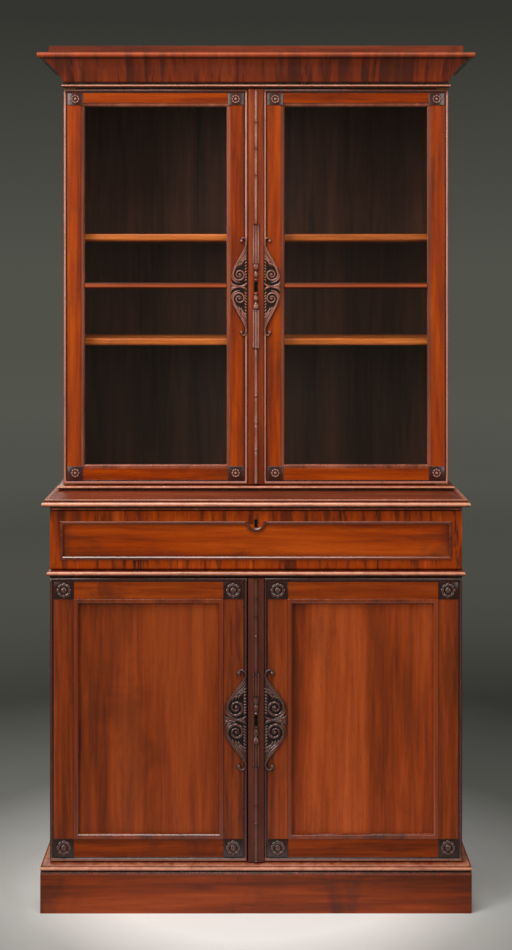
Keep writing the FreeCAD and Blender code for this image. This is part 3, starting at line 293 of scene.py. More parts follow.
def brass():
    """Brass with dull blotches."""
    graph = Graph("aged_brass")
    blotches = graph.noise(graph.place, scale=60.0, detail=5.0, roughness=0.6)
    dull, plain, bright = tones((88, 64, 26), (168, 128, 58), (206, 168, 90))
    colour = graph.ramp(blotches, [(0.35, dull), (0.52, plain), (0.7, bright)])
    graph.shade(Base_Color=colour, Metallic=1.0, Roughness=graph.spread(blotches, 0.3, 0.7, 0.5, 0.24))
    graph.bump(graph.noise(graph.place, scale=800.0, detail=2.0), strength=0.06, distance=0.0003)


GILT = srgb(150, 122, 66)
# Distance from the leather's edge and half width of each line
GILT_LINES = ((0.016, 0.0016), (0.022, 0.0009))


def leather():
    """Grained green leather with two worn gilt lines round its edge."""
    graph = Graph("writing_leather")
    pebbles = {"Vector": graph.place, "Scale": 700.0}
    cells = graph.node("ShaderNodeTexVoronoi", pebbles).outputs["Distance"]
    wear = graph.noise(graph.place, scale=14.0, detail=4.0)
    colour = graph.ramp(wear, [(0.35, srgb(28, 46, 30)), (0.65, srgb(52, 78, 50))])
    low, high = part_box("desk_leather")
    across = graph.calc(graph.axis("X"), 0.0, "ABSOLUTE")
    to_side = graph.calc(high.x, across, "SUBTRACT")
    to_front = graph.calc(graph.axis("Y"), low.y, "SUBTRACT")
    to_back = graph.calc(high.y, graph.axis("Y"), "SUBTRACT")
    to_edge = graph.calc(to_side, graph.calc(to_front, to_back, "MINIMUM"), "MINIMUM")
    for inset, half_width in GILT_LINES:
        away = graph.calc(graph.calc(to_edge, inset, "SUBTRACT"), 0.0, "ABSOLUTE")
        line = graph.spread(away, half_width * 0.6, half_width, 0.75, 0.0)
        worn = graph.calc(line, graph.spread(wear, 0.3, 0.6, 0.5, 1.0), "MULTIPLY")
        colour = graph.mix(worn, colour, GILT)
    graph.shade(Base_Color=colour, Roughness=graph.spread(wear, 0.3, 0.7, 0.55, 0.4))
    graph.bump(cells, strength=0.25, distance=0.0006)


SHADE = srgb(62, 28, 18)
# Woods: dark, middle and light
FRAME = tones((92, 28, 2), (142, 52, 2), (172, 74, 8))
LOWER = tones((76, 28, 6), (122, 46, 8), (148, 62, 16))
FALL = tones((94, 31, 3), (147, 54, 4), (175, 74, 13))
STILE = tones((80, 30, 9), (128, 52, 16), (152, 68, 27))
PANEL = tones((96, 37, 11), (143, 58, 18), (170, 78, 34))
CASE = tones((70, 26, 10), (112, 44, 14), (138, 58, 22))
STRIP = tones((76, 27, 7), (121, 47, 12), (146, 63, 21))
BLOCKING = tones((58, 24, 14), (94, 40, 23), (114, 52, 32))
BEADING = tones((80, 36, 22), (128, 64, 42), (156, 88, 64))
SHELF = tones((120, 54, 14), (176, 88, 32), (204, 112, 48))
DUSKY = tones((44, 20, 14), (72, 33, 23), (94, 46, 33))
INSIDE = tones((40, 22, 17), (62, 36, 26), (80, 48, 35))

cove_low, lip_high = (corner.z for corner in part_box("cornice_cove"))
LIP = 0.014
LIP_EDGE = 0.003
# Tints: level, reach, colour and weight. A lighter band across the lip, a painted highlight along its top
# edge, and painted shadow in dark lines under the lip and at the cove's foot
CORNICE_LINES = (
    (lip_high - LIP / 2, LIP * 0.6, srgb(168, 72, 32), 0.3),
    (lip_high - LIP_EDGE, LIP_EDGE, srgb(176, 108, 84), 0.5),
    (lip_high - LIP, 0.0026, srgb(34, 16, 12), 0.9),
    (cove_low, 0.005, srgb(30, 14, 10), 0.9),
)

bar_middle = sum(corner.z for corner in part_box("upper_left_door_glazing_bead")) / 2
BAR_EDGE = 0.007
BAR_DARK = srgb(52, 26, 18)
# The glazing bar's tints: darker along its upper and lower edges, so that the bar looks thinner, and a
# painted highlight along its middle
BAR_LINES = (
    (bar_middle + BAR_EDGE, 0.006, BAR_DARK, 0.9),
    (bar_middle - BAR_EDGE, 0.006, BAR_DARK, 0.9),
    (bar_middle, 0.004, srgb(150, 84, 60), 0.7),
)

# Half widths that hold the inner faces of the sides
UPPER_INSIDE = 0.4955
LOWER_INSIDE = 0.5105

wood("upper_upright", *FRAME, "z", gloom=(0.024, 0.05))
wood("upper_level", *FRAME, "x", shift=3.0, shine=0.12, coat=0.0, lines=BAR_LINES)
wood("lower_left_upright", *STILE, "z", shift=5.0, gloom=(0.08, 0.1))
wood("lower_right_upright", *STILE, "z", shift=67.0, gloom=(0.03, 0.08))
wood("lower_level", *LOWER, "x", shift=7.0, shine=0.14, coat=0.02, blotch=0.6)
wood("lower_left_panel", *STILE, "z", shift=11.0, figure=0.62)
wood("lower_right_panel", *PANEL, "z", shift=61.0, figure=0.62, blotch=0.25)
wood("upper_side", *CASE, "z", shift=18.0, inner=UPPER_INSIDE)
wood("lower_side", *CASE, "z", shift=21.0, inner=LOWER_INSIDE)
wood("case_level", *CASE, "level", shift=19.0)
wood("case_top", *CASE, "x", shift=23.0)
wood("plinth_wood", *LOWER, "level", shift=41.0, figure=0.6, blotch=0.7, gloom=(0.6, 0.45))
wood("moulding_wood", *CASE, "level", shift=43.0, gloss=0.24, shine=0.7, coat=1.0, blotch=0.2)
wood("upright_moulding", *BEADING, "z", shift=47.0, gloss=0.26, shine=0.6, coat=0.7)
wood("panel_moulding", *CASE, "z", shift=71.0, gloss=0.22, shine=0.6, coat=0.7)
# Its relief paints light: highlights on the noses, and shadow under them and in the quirks
carved("moulding_painted_light", *tones((30, 13, 8), (132, 56, 26), (214, 152, 122)), gloss=0.24, along="level")
banded("cornice_bands", tones((74, 36, 26), (138, 55, 26), (162, 70, 32)), CORNICE_LINES)
wood("blocking_wood", *BLOCKING, "level", shift=37.0, shine=0.12, coat=0.0, blotch=0.6)
wood("shelf_wood", *SHELF, "x", shift=29.0)
wood("inside_wood", *INSIDE, "z", shift=31.0, gloss=0.5, shine=0.15, coat=0.0)
# The crests of these carved woods are partly wear and partly painted highlights; their hollows are partly
# patina and partly painted shade
carved("upper_carved", *tones((34, 17, 12), (74, 37, 28), (150, 98, 82)), gloss=0.28, coat=0.12)
carved("lower_carved", *tones((26, 14, 11), (52, 30, 24), (92, 56, 47)), gloss=0.2)
carved("upper_reeds", *tones((46, 18, 12), (90, 40, 29), (142, 88, 73)), gloss=0.26)
carved("lower_reeds", *tones((30, 16, 12), (64, 33, 24), (98, 56, 45)), gloss=0.24)
carved("upper_bead", *tones((52, 22, 13), (130, 66, 46), (176, 112, 92)), gloss=0.26)
carved("lower_bead", *tones((38, 18, 14), (82, 42, 34), (150, 98, 82)), gloss=0.26)
wood("upper_strip", *STRIP, "z", shift=53.0, shine=0.1, coat=0.0)
wood("lower_strip", *DUSKY, "z", shift=59.0)
glass()
brass()
leather()
keyway()
veneered_fall()

# Materials and the words in the names of their nodes; the first that fits is taken
LOOKS = {
    "pane_glass": ("_glass",),
    "aged_brass": ("hinge", "_lock", "bolt", "quadrants"),
    "writing_leather": ("desk_leather",),
    "upright_moulding": ("glazing_bead",),
    "panel_moulding": ("panel_moulding",),
    "fall_veneer": ("fall_front",),
    "moulding_wood": ("fall_moulding",),
    "plinth_wood": ("plinth_boards",),
    "lower_left_panel": ("lower_left_door_panel",),
    "lower_right_panel": ("lower_right_door_panel",),
    "lower_left_upright": ("lower_left_door_stiles",),
    "lower_right_upright": ("lower_right_door_stiles",),
    "upper_upright": ("upper_left_door_stiles", "upper_right_door_stiles"),
    "upper_level": ("upper_left_door_rails", "upper_right_door_rails"),
    "lower_level": ("lower_left_door_rails", "lower_right_door_rails"),
    "cornice_bands": ("cornice_cove",),
    "blocking_wood": ("cornice_blocking",),
    "case_top": ("lower_boards",),
    "inside_wood": ("lower_back", "upper_back", "upper_boards"),
    "shelf_wood": ("secretaire_carcase", "secretaire_desk", "pigeonholes", "shelves", "small_drawer"),
    "lower_side": ("lower_sides",),
    "upper_side": ("upper_sides",),
    "case_level": ("",),
}


def look_of(name):
    """The material of one node."""
    return next(look for look, words in LOOKS.items() if any(word in name for word in words))


for name, item in nodes.items():
    item.data.materials.clear()
    item.data.materials.append(MATERIALS[look_of(name)])


class Shape:
    """The points and faces of one piece, with a relief from 0, in a hollow, to 1 on a crest.

    The relief sets painted shade and painted highlights as well as patina and wear.
    """

    def __init__(self):
        self.points = []
        self.relief = []
        self.faces = []

    def sheet(self, rows, close_rows=False, close_columns=False):
        """Adds rows of (point, relief) pairs and the faces between them."""
        first = len(self.points)
        width = len(rows[0])
        for row in rows:
            for point, relief in row:
                self.points.append(tuple(point))
                self.relief.append(relief)
        for row in range(len(rows) if close_rows else len(rows) - 1):
            for column in range(width if close_columns else width - 1):
                below = (row + 1) % len(rows) * width
                right = (column + 1) % width
                corners = (row * width + column, row * width + right, below + right, below + column)
                self.faces.append(tuple(first + corner for corner in corners))
        return first

    def cap(self, corners, reverse=False):
        self.faces.append(tuple(reversed(corners)) if reverse else tuple(corners))

    def tube(self, rows):
        """A closed tube through rings of (point, relief) pairs."""
        first = self.sheet(rows, close_columns=True)
        width = len(rows[0])
        last = first + width * (len(rows) - 1)
        self.cap(range(first, first + width), True)
        self.cap(range(last, last + width))

    def piece(self, name, body, material, smooth=35):
        """Makes the object and lets it ride on a body."""
        mesh = bpy.data.meshes.new(name)
        mesh.from_pydata(self.points, [], self.faces)
        mesh.attributes.new("relief", "FLOAT", "POINT").data.foreach_set("value", self.relief)
        edit = bmesh.new()
        edit.from_mesh(mesh)
        bmesh.ops.recalc_face_normals(edit, faces=edit.faces)
        edit.to_mesh(mesh)
        edit.free()
        mesh.shade_smooth()
        mesh.set_sharp_from_angle(angle=math.radians(smooth))
        mesh.materials.append(MATERIALS[material])
        item = bpy.data.objects.new(name, mesh)
        bpy.context.scene.collection.objects.link(item)
        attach(item, body)
        return item


def bezier(start, first, second, end, count):
    """Points along a cubic curve in a plane."""
    points = []
    for index in range(count):
        share = index / (count - 1)
        rest = 1 - share
        weights = (rest ** 3, 3 * rest ** 2 * share, 3 * rest * share ** 2, share ** 3)
        pulls = [Vector(point) * weight for point, weight in zip((start, first, second, end), weights)]
        points.append(sum(pulls, Vector((0, 0))))
    return points


class Ground:
    """The plane of a door's front.

    Across runs from an edge to one side, up runs from a level, and out runs to the front.
    """

    def __init__(self, edge, side, level, face):
        self.edge = edge
        self.side = side
        self.level = level
        self.face = face

    def point(self, across, up, out):
        return Vector((self.edge + self.side * across, self.face - out, self.level + up))


# How far a piece is sunk into the face that carries it
SUNK = 0.0005
GROUND_THICK = 0.0036
STRAND_SIDES = 10
BALL_SIDES = 14
BALL_ROWS = 8
BALL_FLAT = 0.8


def strand(shape, ground, path, radii):
    """A rounded strand along a path on the ground; its thin parts have less relief."""
    rings = []
    top = max(radii)
    for index, point in enumerate(path):
        before = path[max(index - 1, 0)]
        after = path[min(index + 1, len(path) - 1)]
        along = (after - before).normalized()
        normal = Vector((-along.y, along.x))
        ring = []
        for step in range(STRAND_SIDES):
            angle = 2 * math.pi * step / STRAND_SIDES
            place = point + normal * (radii[index] * math.cos(angle))
            lift = math.sin(angle)
            relief = max(0.0, lift) * (0.55 + 0.45 * radii[index] / top)
            ring.append((ground.point(place.x, place.y, GROUND_THICK + radii[index] * lift), relief))
        rings.append(ring)
    shape.tube(rings)


def ball(shape, ground, across, up, radius, base):
    """A round boss on the ground."""
    rings = []
    for row in range(1, BALL_ROWS):
        tilt = math.pi * row / BALL_ROWS - math.pi / 2
        reach = radius * math.cos(tilt)
        out = base + radius * BALL_FLAT * math.sin(tilt)
        ring = []
        for step in range(BALL_SIDES):
            angle = 2 * math.pi * step / BALL_SIDES
            place = ground.point(across + reach * math.cos(angle), up + reach * math.sin(angle), out)
            ring.append((place, max(0.0, math.sin(tilt))))
        rings.append(ring)
    shape.tube(rings)


# A scroll's ground from its foot to its middle, in shares of its width and of its height
LOZENGE = ((0.0, -0.455), (0.1, -0.44), (0.32, -0.345), (0.62, -0.255), (0.88, -0.175), (0.95, -0.11),
           (0.93, -0.05), (0.97, 0.0))


def half_lozenge(shape, ground, wide, tall):
    """The thin ground of a scroll: straight beside the strip, widest round its middle."""
    edge = list(LOZENGE)
    edge += [(across, -up) for across, up in reversed(LOZENGE[:-1])]
    rows = []
    for out in (-SUNK, GROUND_THICK):
        rows.append([(ground.point(wide * across, tall * up, out), 0.0) for across, up in edge])
    shape.tube(rows)


# A leaf's thickness follows a sine between these angles
LEAF_START = 0.35
LEAF_END = 2.75


def swell(count):
    """Shares that rise and fall along a leaf."""
    turn = LEAF_END - LEAF_START
    return [math.sin(LEAF_START + turn * index / (count - 1)) for index in range(count)]


def leaf(shape, ground, curve, thick, count):
    """A leaf or a reed along a cubic curve, thickest near its middle."""
    strand(shape, ground, bezier(*curve, count), [thick * share for share in swell(count)])


# A scroll's lines, in shares of its width, and of its height from the middle
STEM_THICK = 0.062
STEM_THIN = 0.65
STEM_SWELL = 0.5
STEM_SWELL_STEPS = 40
HOOK = ((0.37, 0.468), (0.35, 0.51), (0.1, 0.515), (0.06, 0.45))
HOOK_STEPS = 14
STEM = ((0.06, 0.45), (0.03, 0.4), (0.62, 0.27))
STEM_STEPS = 30
VOLUTE_MIDDLE = (0.49, 0.122)
VOLUTE_STEPS = 72
VOLUTE_RADIUS = 0.37
VOLUTE_EYE = 0.035
VOLUTE_POWER = 1.1
VOLUTE_START = 40
VOLUTE_TURN = 720
OUTER_RADIUS = 0.47
OUTER_THICK = 1.05
OUTER_DEGREES = range(10, -96, -7)
EYE_BALL = 0.07
HOOK_BALL = 0.105
HOOK_BALL_PLACE = (0.37, 0.466)
MIDDLE_BALL = 0.075
# Leaves: the four points of a curve, a share of the stem's thickness and the number of points
LONG_REEDS = (
    (((0.05, 0.41), (0.06, 0.36), (0.56, 0.27), (0.97, 0.155)), 0.95, 24),
    (((0.04, 0.375), (0.08, 0.32), (0.46, 0.255), (0.72, 0.205)), 0.85, 20),
    (((0.04, 0.335), (0.08, 0.29), (0.3, 0.25), (0.5, 0.215)), 0.8, 16),
)
MIDDLE_LEAVES = (
    (((0.52, 0.008), (0.7, 0.004), (0.95, 0.012), (1.0, 0.05)), 1.35, 14),
    (((0.56, 0.006), (0.75, 0.0), (0.9, 0.0), (1.0, 0.018)), 1.0, 14),
    (((0.46, 0.006), (0.32, 0.0), (0.12, 0.01), (0.04, 0.04)), 1.2, 14),
)
# Small leaves over the volute and beside the strip: their places, and a curve from each place
VOLUTE_LEAVES = ((0.2, 0.29), (0.25, 0.262), (0.31, 0.234), (0.44, 0.226), (0.58, 0.216), (0.7, 0.2))
VOLUTE_CURVE = ((-0.05, 0.012), (0.03, 0.012), (0.1, -0.004), (0.06, -0.022))
VOLUTE_LEAF_THICK = 0.95
STRIP_LEAVES = (0.062, 0.09, 0.118, 0.148, 0.178, 0.208, 0.24, 0.272, 0.302)
STRIP_CURVE = ((0.02, 0.01), (0.07, 0.012), (0.13, 0.004), (0.15, -0.01))
STRIP_LEAF_THICK = 0.85
SMALL_LEAF_STEPS = 9


def half_scroll(shape, ground, wide, tall, sign):
    """A volute on its long stem, with reeds beside it and leaves round it, above or below the middle."""
    thick = wide * STEM_THICK

    def at(across, up):
        return Vector((wide * across, tall * up * sign))

    def curve_at(points, across=0.0, up=0.0):
        return [at(across + point[0], up + point[1]) for point in points]

    def around(radius, degrees):
        angle = math.radians(degrees)
        return at(*VOLUTE_MIDDLE) + Vector((math.cos(angle), math.sin(angle) * sign)) * (wide * radius)
    spiral = []
    for index in range(VOLUTE_STEPS):
        share = index / (VOLUTE_STEPS - 1)
        radius = VOLUTE_RADIUS * (1 - share) ** VOLUTE_POWER + VOLUTE_EYE
        spiral.append(around(radius, VOLUTE_START - share * VOLUTE_TURN))
    hook = bezier(*curve_at(HOOK), HOOK_STEPS)
    stem = hook[:-1] + bezier(*curve_at(STEM), spiral[0], STEM_STEPS)[:-1]
    radii = []
    for index in range(len(stem)):
        radii.append(thick * (STEM_THIN + STEM_SWELL * min(1.0, index / STEM_SWELL_STEPS)))
    for index in range(VOLUTE_STEPS):
        radii.append(thick * (STEM_THIN + STEM_SWELL - STEM_SWELL * index / (VOLUTE_STEPS - 1)))
    strand(shape, ground, stem + spiral, radii)
    ball(shape, ground, *at(*VOLUTE_MIDDLE), wide * EYE_BALL, GROUND_THICK + thick * 0.4)
    ball(shape, ground, *at(*HOOK_BALL_PLACE), wide * HOOK_BALL, GROUND_THICK * 0.8)
    for points, share, steps in LONG_REEDS:
        leaf(shape, ground, curve_at(points), thick * share, steps)
    outer = [around(OUTER_RADIUS, degrees) for degrees in OUTER_DEGREES]
    strand(shape, ground, outer, [thick * OUTER_THICK * share for share in swell(len(outer))])
    for points, share, steps in MIDDLE_LEAVES:
        leaf(shape, ground, curve_at(points), thick * share, steps)
    for place in VOLUTE_LEAVES:
        leaf(shape, ground, curve_at(VOLUTE_CURVE, *place), thick * VOLUTE_LEAF_THICK, SMALL_LEAF_STEPS)
    for up in STRIP_LEAVES:
        leaf(shape, ground, curve_at(STRIP_CURVE, 0.0, up), thick * STRIP_LEAF_THICK, SMALL_LEAF_STEPS)


def scroll(shape, ground, wide, tall):
    """A carved scroll: two volutes that meet in leaves and a boss, on a dark ground."""
    half_lozenge(shape, ground, wide, tall)
    for sign in (-1, 1):
        half_scroll(shape, ground, wide, tall, sign)
    boss_out = GROUND_THICK + wide * STEM_THICK * 0.3
    ball(shape, ground, wide * 0.5, 0.0, wide * MIDDLE_BALL, boss_out)


PETALS = 8
PETAL_COLUMNS = 8
FLOWER_STEPS = 30
BLOCK_THICK = 0.002
# The block goes deeper than other pieces, because it also covers the moulding inside the frame
BLOCK_SUNK = 0.0022
FLOWER_SUNK = 0.0004
PETAL_HEIGHT = 0.0036
BUTTON_HEIGHT = 0.005
# The button's share of a flower's radius
BUTTON = 0.46


def rosette(shape, ground, wide, tall, rim):
    """A block with a carved flower: a rim of petals, a dark ring and a button."""
    corners = [(across * wide / 2, up * tall / 2) for across, up in ((-1, -1), (1, -1), (1, 1), (-1, 1))]
    levels = ((1.0, -BLOCK_SUNK), (1.0, BLOCK_THICK * 0.7), (0.95, BLOCK_THICK))
    shape.tube([[(ground.point(across * share, up * share, out), 0.3) for across, up in corners]
                for share, out in levels])
    columns = PETALS * PETAL_COLUMNS
    rings = []
    for row in range(FLOWER_STEPS + 1):
        share = 1 - row / FLOWER_STEPS * 0.985
        ring = []
        for column in range(columns):
            angle = 2 * math.pi * column / columns
            petal = abs(math.cos(PETALS * angle / 2)) ** 0.7
            reach = rim * share * (1 - 0.1 * (1 - petal) * min(1, share * 1.4))
            if share > BUTTON:
                arch = math.sin(math.pi * (1 - share) / (1 - BUTTON))
                out = PETAL_HEIGHT * max(0, arch) ** 0.55 * (0.7 + 0.3 * petal)
                relief = max(0, arch) ** 0.8 * (0.55 + 0.45 * petal)
            else:
                dome = 1 - (share / BUTTON) ** 2
                out = BUTTON_HEIGHT * math.sqrt(max(0, dome))
                relief = max(0, dome) ** 0.7
            out += BLOCK_THICK - FLOWER_SUNK
            ring.append((ground.point(reach * math.cos(angle), reach * math.sin(angle), out), relief))
        rings.append(ring)
    shape.tube(rings)


STAGE_WORDS = ("upper", "lower")
SIDE_WORDS = {"left": -1, "right": 1}
# Width and height of a scroll
SCROLLS = {"upper": (0.044, 0.262), "lower": (0.058, 0.257)}
# How far a rosette's block reaches over the moulding inside the frame, and its flower's radius
BLOCK_OVER = {"upper": 0.006, "lower": 0.0}
FLOWER_RADIUS = {"upper": 0.0128, "lower": 0.0205}


def door_sides(stage, word):
    """The x of a door's bare meeting edge and of its outer side."""
    low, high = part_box(f"{stage}_{word}_door_stiles")
    if word == "left":
        return high.x, low.x
    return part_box(f"{stage}_meeting_strip")[1].x, high.x


def carve_door(stage, word):
    """The scroll and the four rosettes of one door."""
    side = SIDE_WORDS[word]
    door = f"{stage}_{word}_door"
    low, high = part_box(f"{door}_stiles")
    rails = [corner.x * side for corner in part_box(f"{door}_rails")]
    meeting, outer = door_sides(stage, word)
    face = low.y
    shape = Shape()
    wide = BEAD[-1][0]
    over = BLOCK_OVER[stage]
    inside, outside = min(rails) + over, max(rails) - over
    columns = ((meeting + wide * side, inside * side), (outer - wide * side, outside * side))
    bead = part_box(f"{door}_glazing_bead" if stage == "upper" else f"{door}_panel_moulding")
    levels = ((low.z + wide, bead[0].z + over), (high.z - wide, bead[1].z - over))
    for start, end in columns:
        for foot, top in levels:
            ground = Ground((start + end) / 2, 1, (foot + top) / 2, face)
            rosette(shape, ground, abs(end - start), abs(top - foot), FLOWER_RADIUS[stage])
    scroll(shape, Ground(meeting, side, (low.z + high.z) / 2, face), *SCROLLS[stage])
    item = shape.piece(f"{door}_carving", door, f"{stage}_carved")
    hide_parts(f"{door}_carvings")


# A door bead's section: distance from the door's edge, height and relief, from the edge to its quirk. The
# relief paints a highlight on the crest and shade in the quirk
BEAD = ((0.0, -SUNK, 0.1), (0.0, 0.0005, 0.3), (0.001, 0.0018, 0.7), (0.0025, 0.0025, 0.95),
        (0.0042, 0.0025, 1.0), (0.0056, 0.0019, 0.7), (0.0066, 0.0009, 0.3), (0.0072, 0.0002, 0.0),
        (0.0096, 0.0002, 0.0), (0.0104, -SUNK, 0.2))
# Shares of that relief along a door's foot, sides and head, and the length over which they change. Low
# shares are painted shade, as on the heads under the mouldings above
BEAD_LIGHT_SHARES = {"upper": (1.0, 1.0, 0.25), "lower": (1.0, 0.5, 0.35)}
BEAD_FADE = 0.01


def bead_door(stage, word):
    """The bead round one door's front."""
    door = f"{stage}_{word}_door"
    low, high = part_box(f"{door}_stiles")
    sides = sorted(door_sides(stage, word))
    shape = Shape()
    rings = []
    for inset, height, relief in BEAD:
        left, right = sides[0] + inset, sides[1] - inset
        bottom, top = low.z + inset, high.z - inset
        foot, flank, head = (relief * share for share in BEAD_LIGHT_SHARES[stage])
        corners = ((left, bottom, foot), (right, bottom, foot), (right, bottom + BEAD_FADE, flank),
                   (right, top - BEAD_FADE, flank), (right, top, head), (left, top, head),
                   (left, top - BEAD_FADE, flank), (left, bottom + BEAD_FADE, flank))
        rings.append([((x, low.y - height, z), share) for x, z, share in corners])
    shape.sheet(rings, close_rows=True, close_columns=True)
    shape.piece(f"{door}_edge_bead", door, f"{stage}_bead")


STRIP_THICK = 0.006
STRIP_SUNK = 0.0004
STRIP_SOFT = 0.0009
# Where a strip's reeds have nodes, in shares of its half height
REED_SHARES = {"upper": (0.315, 0.56, 0.695, 0.83), "lower": (0.33, 0.6, 0.73, 0.86)}
# A reed from node to node: shares of its length and of its radius, and relief
REED_ROWS = ((0.0, 0.82, 0.0), (0.02, 0.95, 0.8), (0.2, 0.9, 0.9), (0.6, 0.92, 1.0), (0.95, 1.0, 0.9),
             (0.985, 1.14, 0.7), (1.0, 0.9, 0.1))
# A bud beside the keyhole: level from the middle, radius and relief
BUD = ((0.0155, 0.001, 0.0), (0.0158, 0.0062, 0.4), (0.0185, 0.0068, 0.9), (0.021, 0.0046, 0.2),
       (0.025, 0.0052, 0.6), (0.031, 0.0078, 1.0), (0.0375, 0.0066, 0.7), (0.041, 0.0046, 0.1),
       (0.044, 0.0062, 0.6), (0.05, 0.0088, 1.0), (0.0555, 0.0092, 0.9), (0.06, 0.0086, 0.5),
       (0.0615, 0.004, 0.0))
REED_RADIUS = 0.0054
# The three thin reeds beside each bud
TRIPLE_RADIUS = 0.0033
TRIPLE_PITCH = 1.9 * TRIPLE_RADIUS
TRIPLE_START = 0.058


def turned_reed(shape, ground, rows, across=0.0, sides=12):
    """A rounded reed on the ground through (level, radius, relief) rows."""
    rings = []
    for level, radius, relief in rows:
        ring = []
        for step in range(sides):
            angle = 2 * math.pi * step / sides
            lift = math.sin(angle)
            place = ground.point(across + radius * math.cos(angle), level, STRIP_THICK + radius * lift)
            ring.append((place, relief * (0.35 + 0.65 * max(0.0, lift))))
        rings.append(ring)
    shape.tube(rings)


def bamboo(levels, sign):
    """The rows of a reed that swells a little to each node."""
    rows = []
    for start, end in zip(levels, levels[1:]):
        length = end - start
        for share, radius, relief in REED_ROWS:
            rows.append(((start + share * length) * sign, REED_RADIUS * radius, relief))
    return rows


def meeting_strip(stage):
    """The strip over the meeting of two doors: a flat ground, reeds with nodes, two buds and a keyhole."""
    door = f"{stage}_right_door"
    node_name = f"{stage}_meeting_strip"
    low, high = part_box(node_name)
    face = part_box(f"{door}_stiles")[0].y
    middle = (low.z + high.z) / 2
    half = (high.z - low.z) / 2
    ground = Ground(0.0, 1, middle, face)
    edge = high.x
    flank = STRIP_THICK - STRIP_SOFT
    section = ((-edge, -STRIP_SUNK), (-edge, flank), (STRIP_SOFT - edge, STRIP_THICK),
               (edge - STRIP_SOFT, STRIP_THICK), (edge, flank), (edge, -STRIP_SUNK))
    slab = Shape()
    slab.tube([[(ground.point(across, level, out), 0.5) for across, out in section]
               for level in (-half, half)])
    board = slab.piece(f"{stage}_strip_ground", door, f"{stage}_strip", 50)
    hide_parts(node_name)
    shape = Shape()
    shares = REED_SHARES[stage]
    for sign in (-1, 1):
        bud = [(level * sign, radius, relief) for level, radius, relief in BUD]
        turned_reed(shape, ground, bud, sides=16)
        joint = half * shares[0]
        triple = ((TRIPLE_START, 0.6, 0.2), (TRIPLE_START + 0.006, 1.0, 0.9), (joint * 0.7, 0.95, 1.0),
                  (joint - 0.005, 1.0, 0.8), (joint - 0.002, 1.2, 0.5), (joint, 0.8, 0.0))
        rows = [(level * sign, TRIPLE_RADIUS * share, relief) for level, share, relief in triple]
        for across in (-TRIPLE_PITCH, 0.0, TRIPLE_PITCH):
            turned_reed(shape, ground, rows, across)
        turned_reed(shape, ground, bamboo([half * share for share in shares] + [half - 0.001], sign))
    shape.piece(f"{stage}_strip_reeds", door, f"{stage}_reeds")
    key_plate(stage, door, ground, DOOR_KEY, STRIP_THICK + KEY_PROUD)


DOOR_KEY = 0.027
FALL_KEY = 0.021
# From the fall's top to the middle of its keyhole
FALL_KEY_DROP = 0.031
KEY_PROUD = 0.0004
# A keyhole: its head's radius and the level of the head's middle, in shares of its height
KEY_HEAD = 0.22
KEY_MIDDLE = 0.29
KEY_START = -40
KEY_SWEEP = 260
KEY_STEPS = 14
KEY_DEEP = 0.0006
LINING_RADIUS = 0.0006
LINING_SUNK = 0.0002
LINING_SIDES = 6


def key_plate(name, body, ground, tall, out):
    """A keyhole: a near-black plate of painted shade in the shape of an opening with a round head and a
    flared foot, lined with brass.
    """
    head = tall * KEY_HEAD
    outline = []
    for step in range(KEY_STEPS + 1):
        angle = math.radians(KEY_START + KEY_SWEEP * step / KEY_STEPS)
        outline.append(Vector((head * math.cos(angle), tall * KEY_MIDDLE + head * math.sin(angle))))
    outline += [Vector((-head, -tall / 2)), Vector((head, -tall / 2))]
    shape = Shape()
    shape.tube([[(ground.point(*corner, level), 0.0) for corner in outline]
                for level in (out - KEY_DEEP, out)])
    shape.piece(f"{name}_keyhole", body, "keyhole_painted_shade")
    lining = Shape()
    rings = []
    for index, corner in enumerate(outline):
        along = (outline[(index + 1) % len(outline)] - outline[index - 1]).normalized()
        away = Vector((along.y, -along.x))
        ring = []
        for step in range(LINING_SIDES):
            angle = 2 * math.pi * step / LINING_SIDES
            place = corner + away * (LINING_RADIUS * math.cos(angle))
            level = out - LINING_SUNK + LINING_RADIUS * math.sin(angle)
            ring.append((ground.point(*place, level), 0.5))
        rings.append(ring)
    lining.sheet(rings, close_rows=True, close_columns=True)
    lining.piece(f"{name}_key_lining", body, "aged_brass")


# The angle at which a nose carries its painted highlight, and the relief of the rest of it
NOSE_HIGHLIGHT_ANGLE = 18
NOSE_RELIEF = 0.36
NOSE_STEPS = 12


def round_nose(middle, level, wide, tall, start, end, highlight_relief=0.9):
    """Section points (out, up, relief) round a nose, from one angle to another, with a painted highlight
    above its middle.
    """
    points = []
    for index in range(NOSE_STEPS + 1):
        angle = math.radians(start + (end - start) * index / NOSE_STEPS)
        shine = math.cos(angle - math.radians(NOSE_HIGHLIGHT_ANGLE))
        relief = NOSE_RELIEF + (highlight_relief - NOSE_RELIEF) * max(0.0, shine) ** 5
        points.append((middle + wide * math.cos(angle), level + tall * math.sin(angle), relief))
    return points
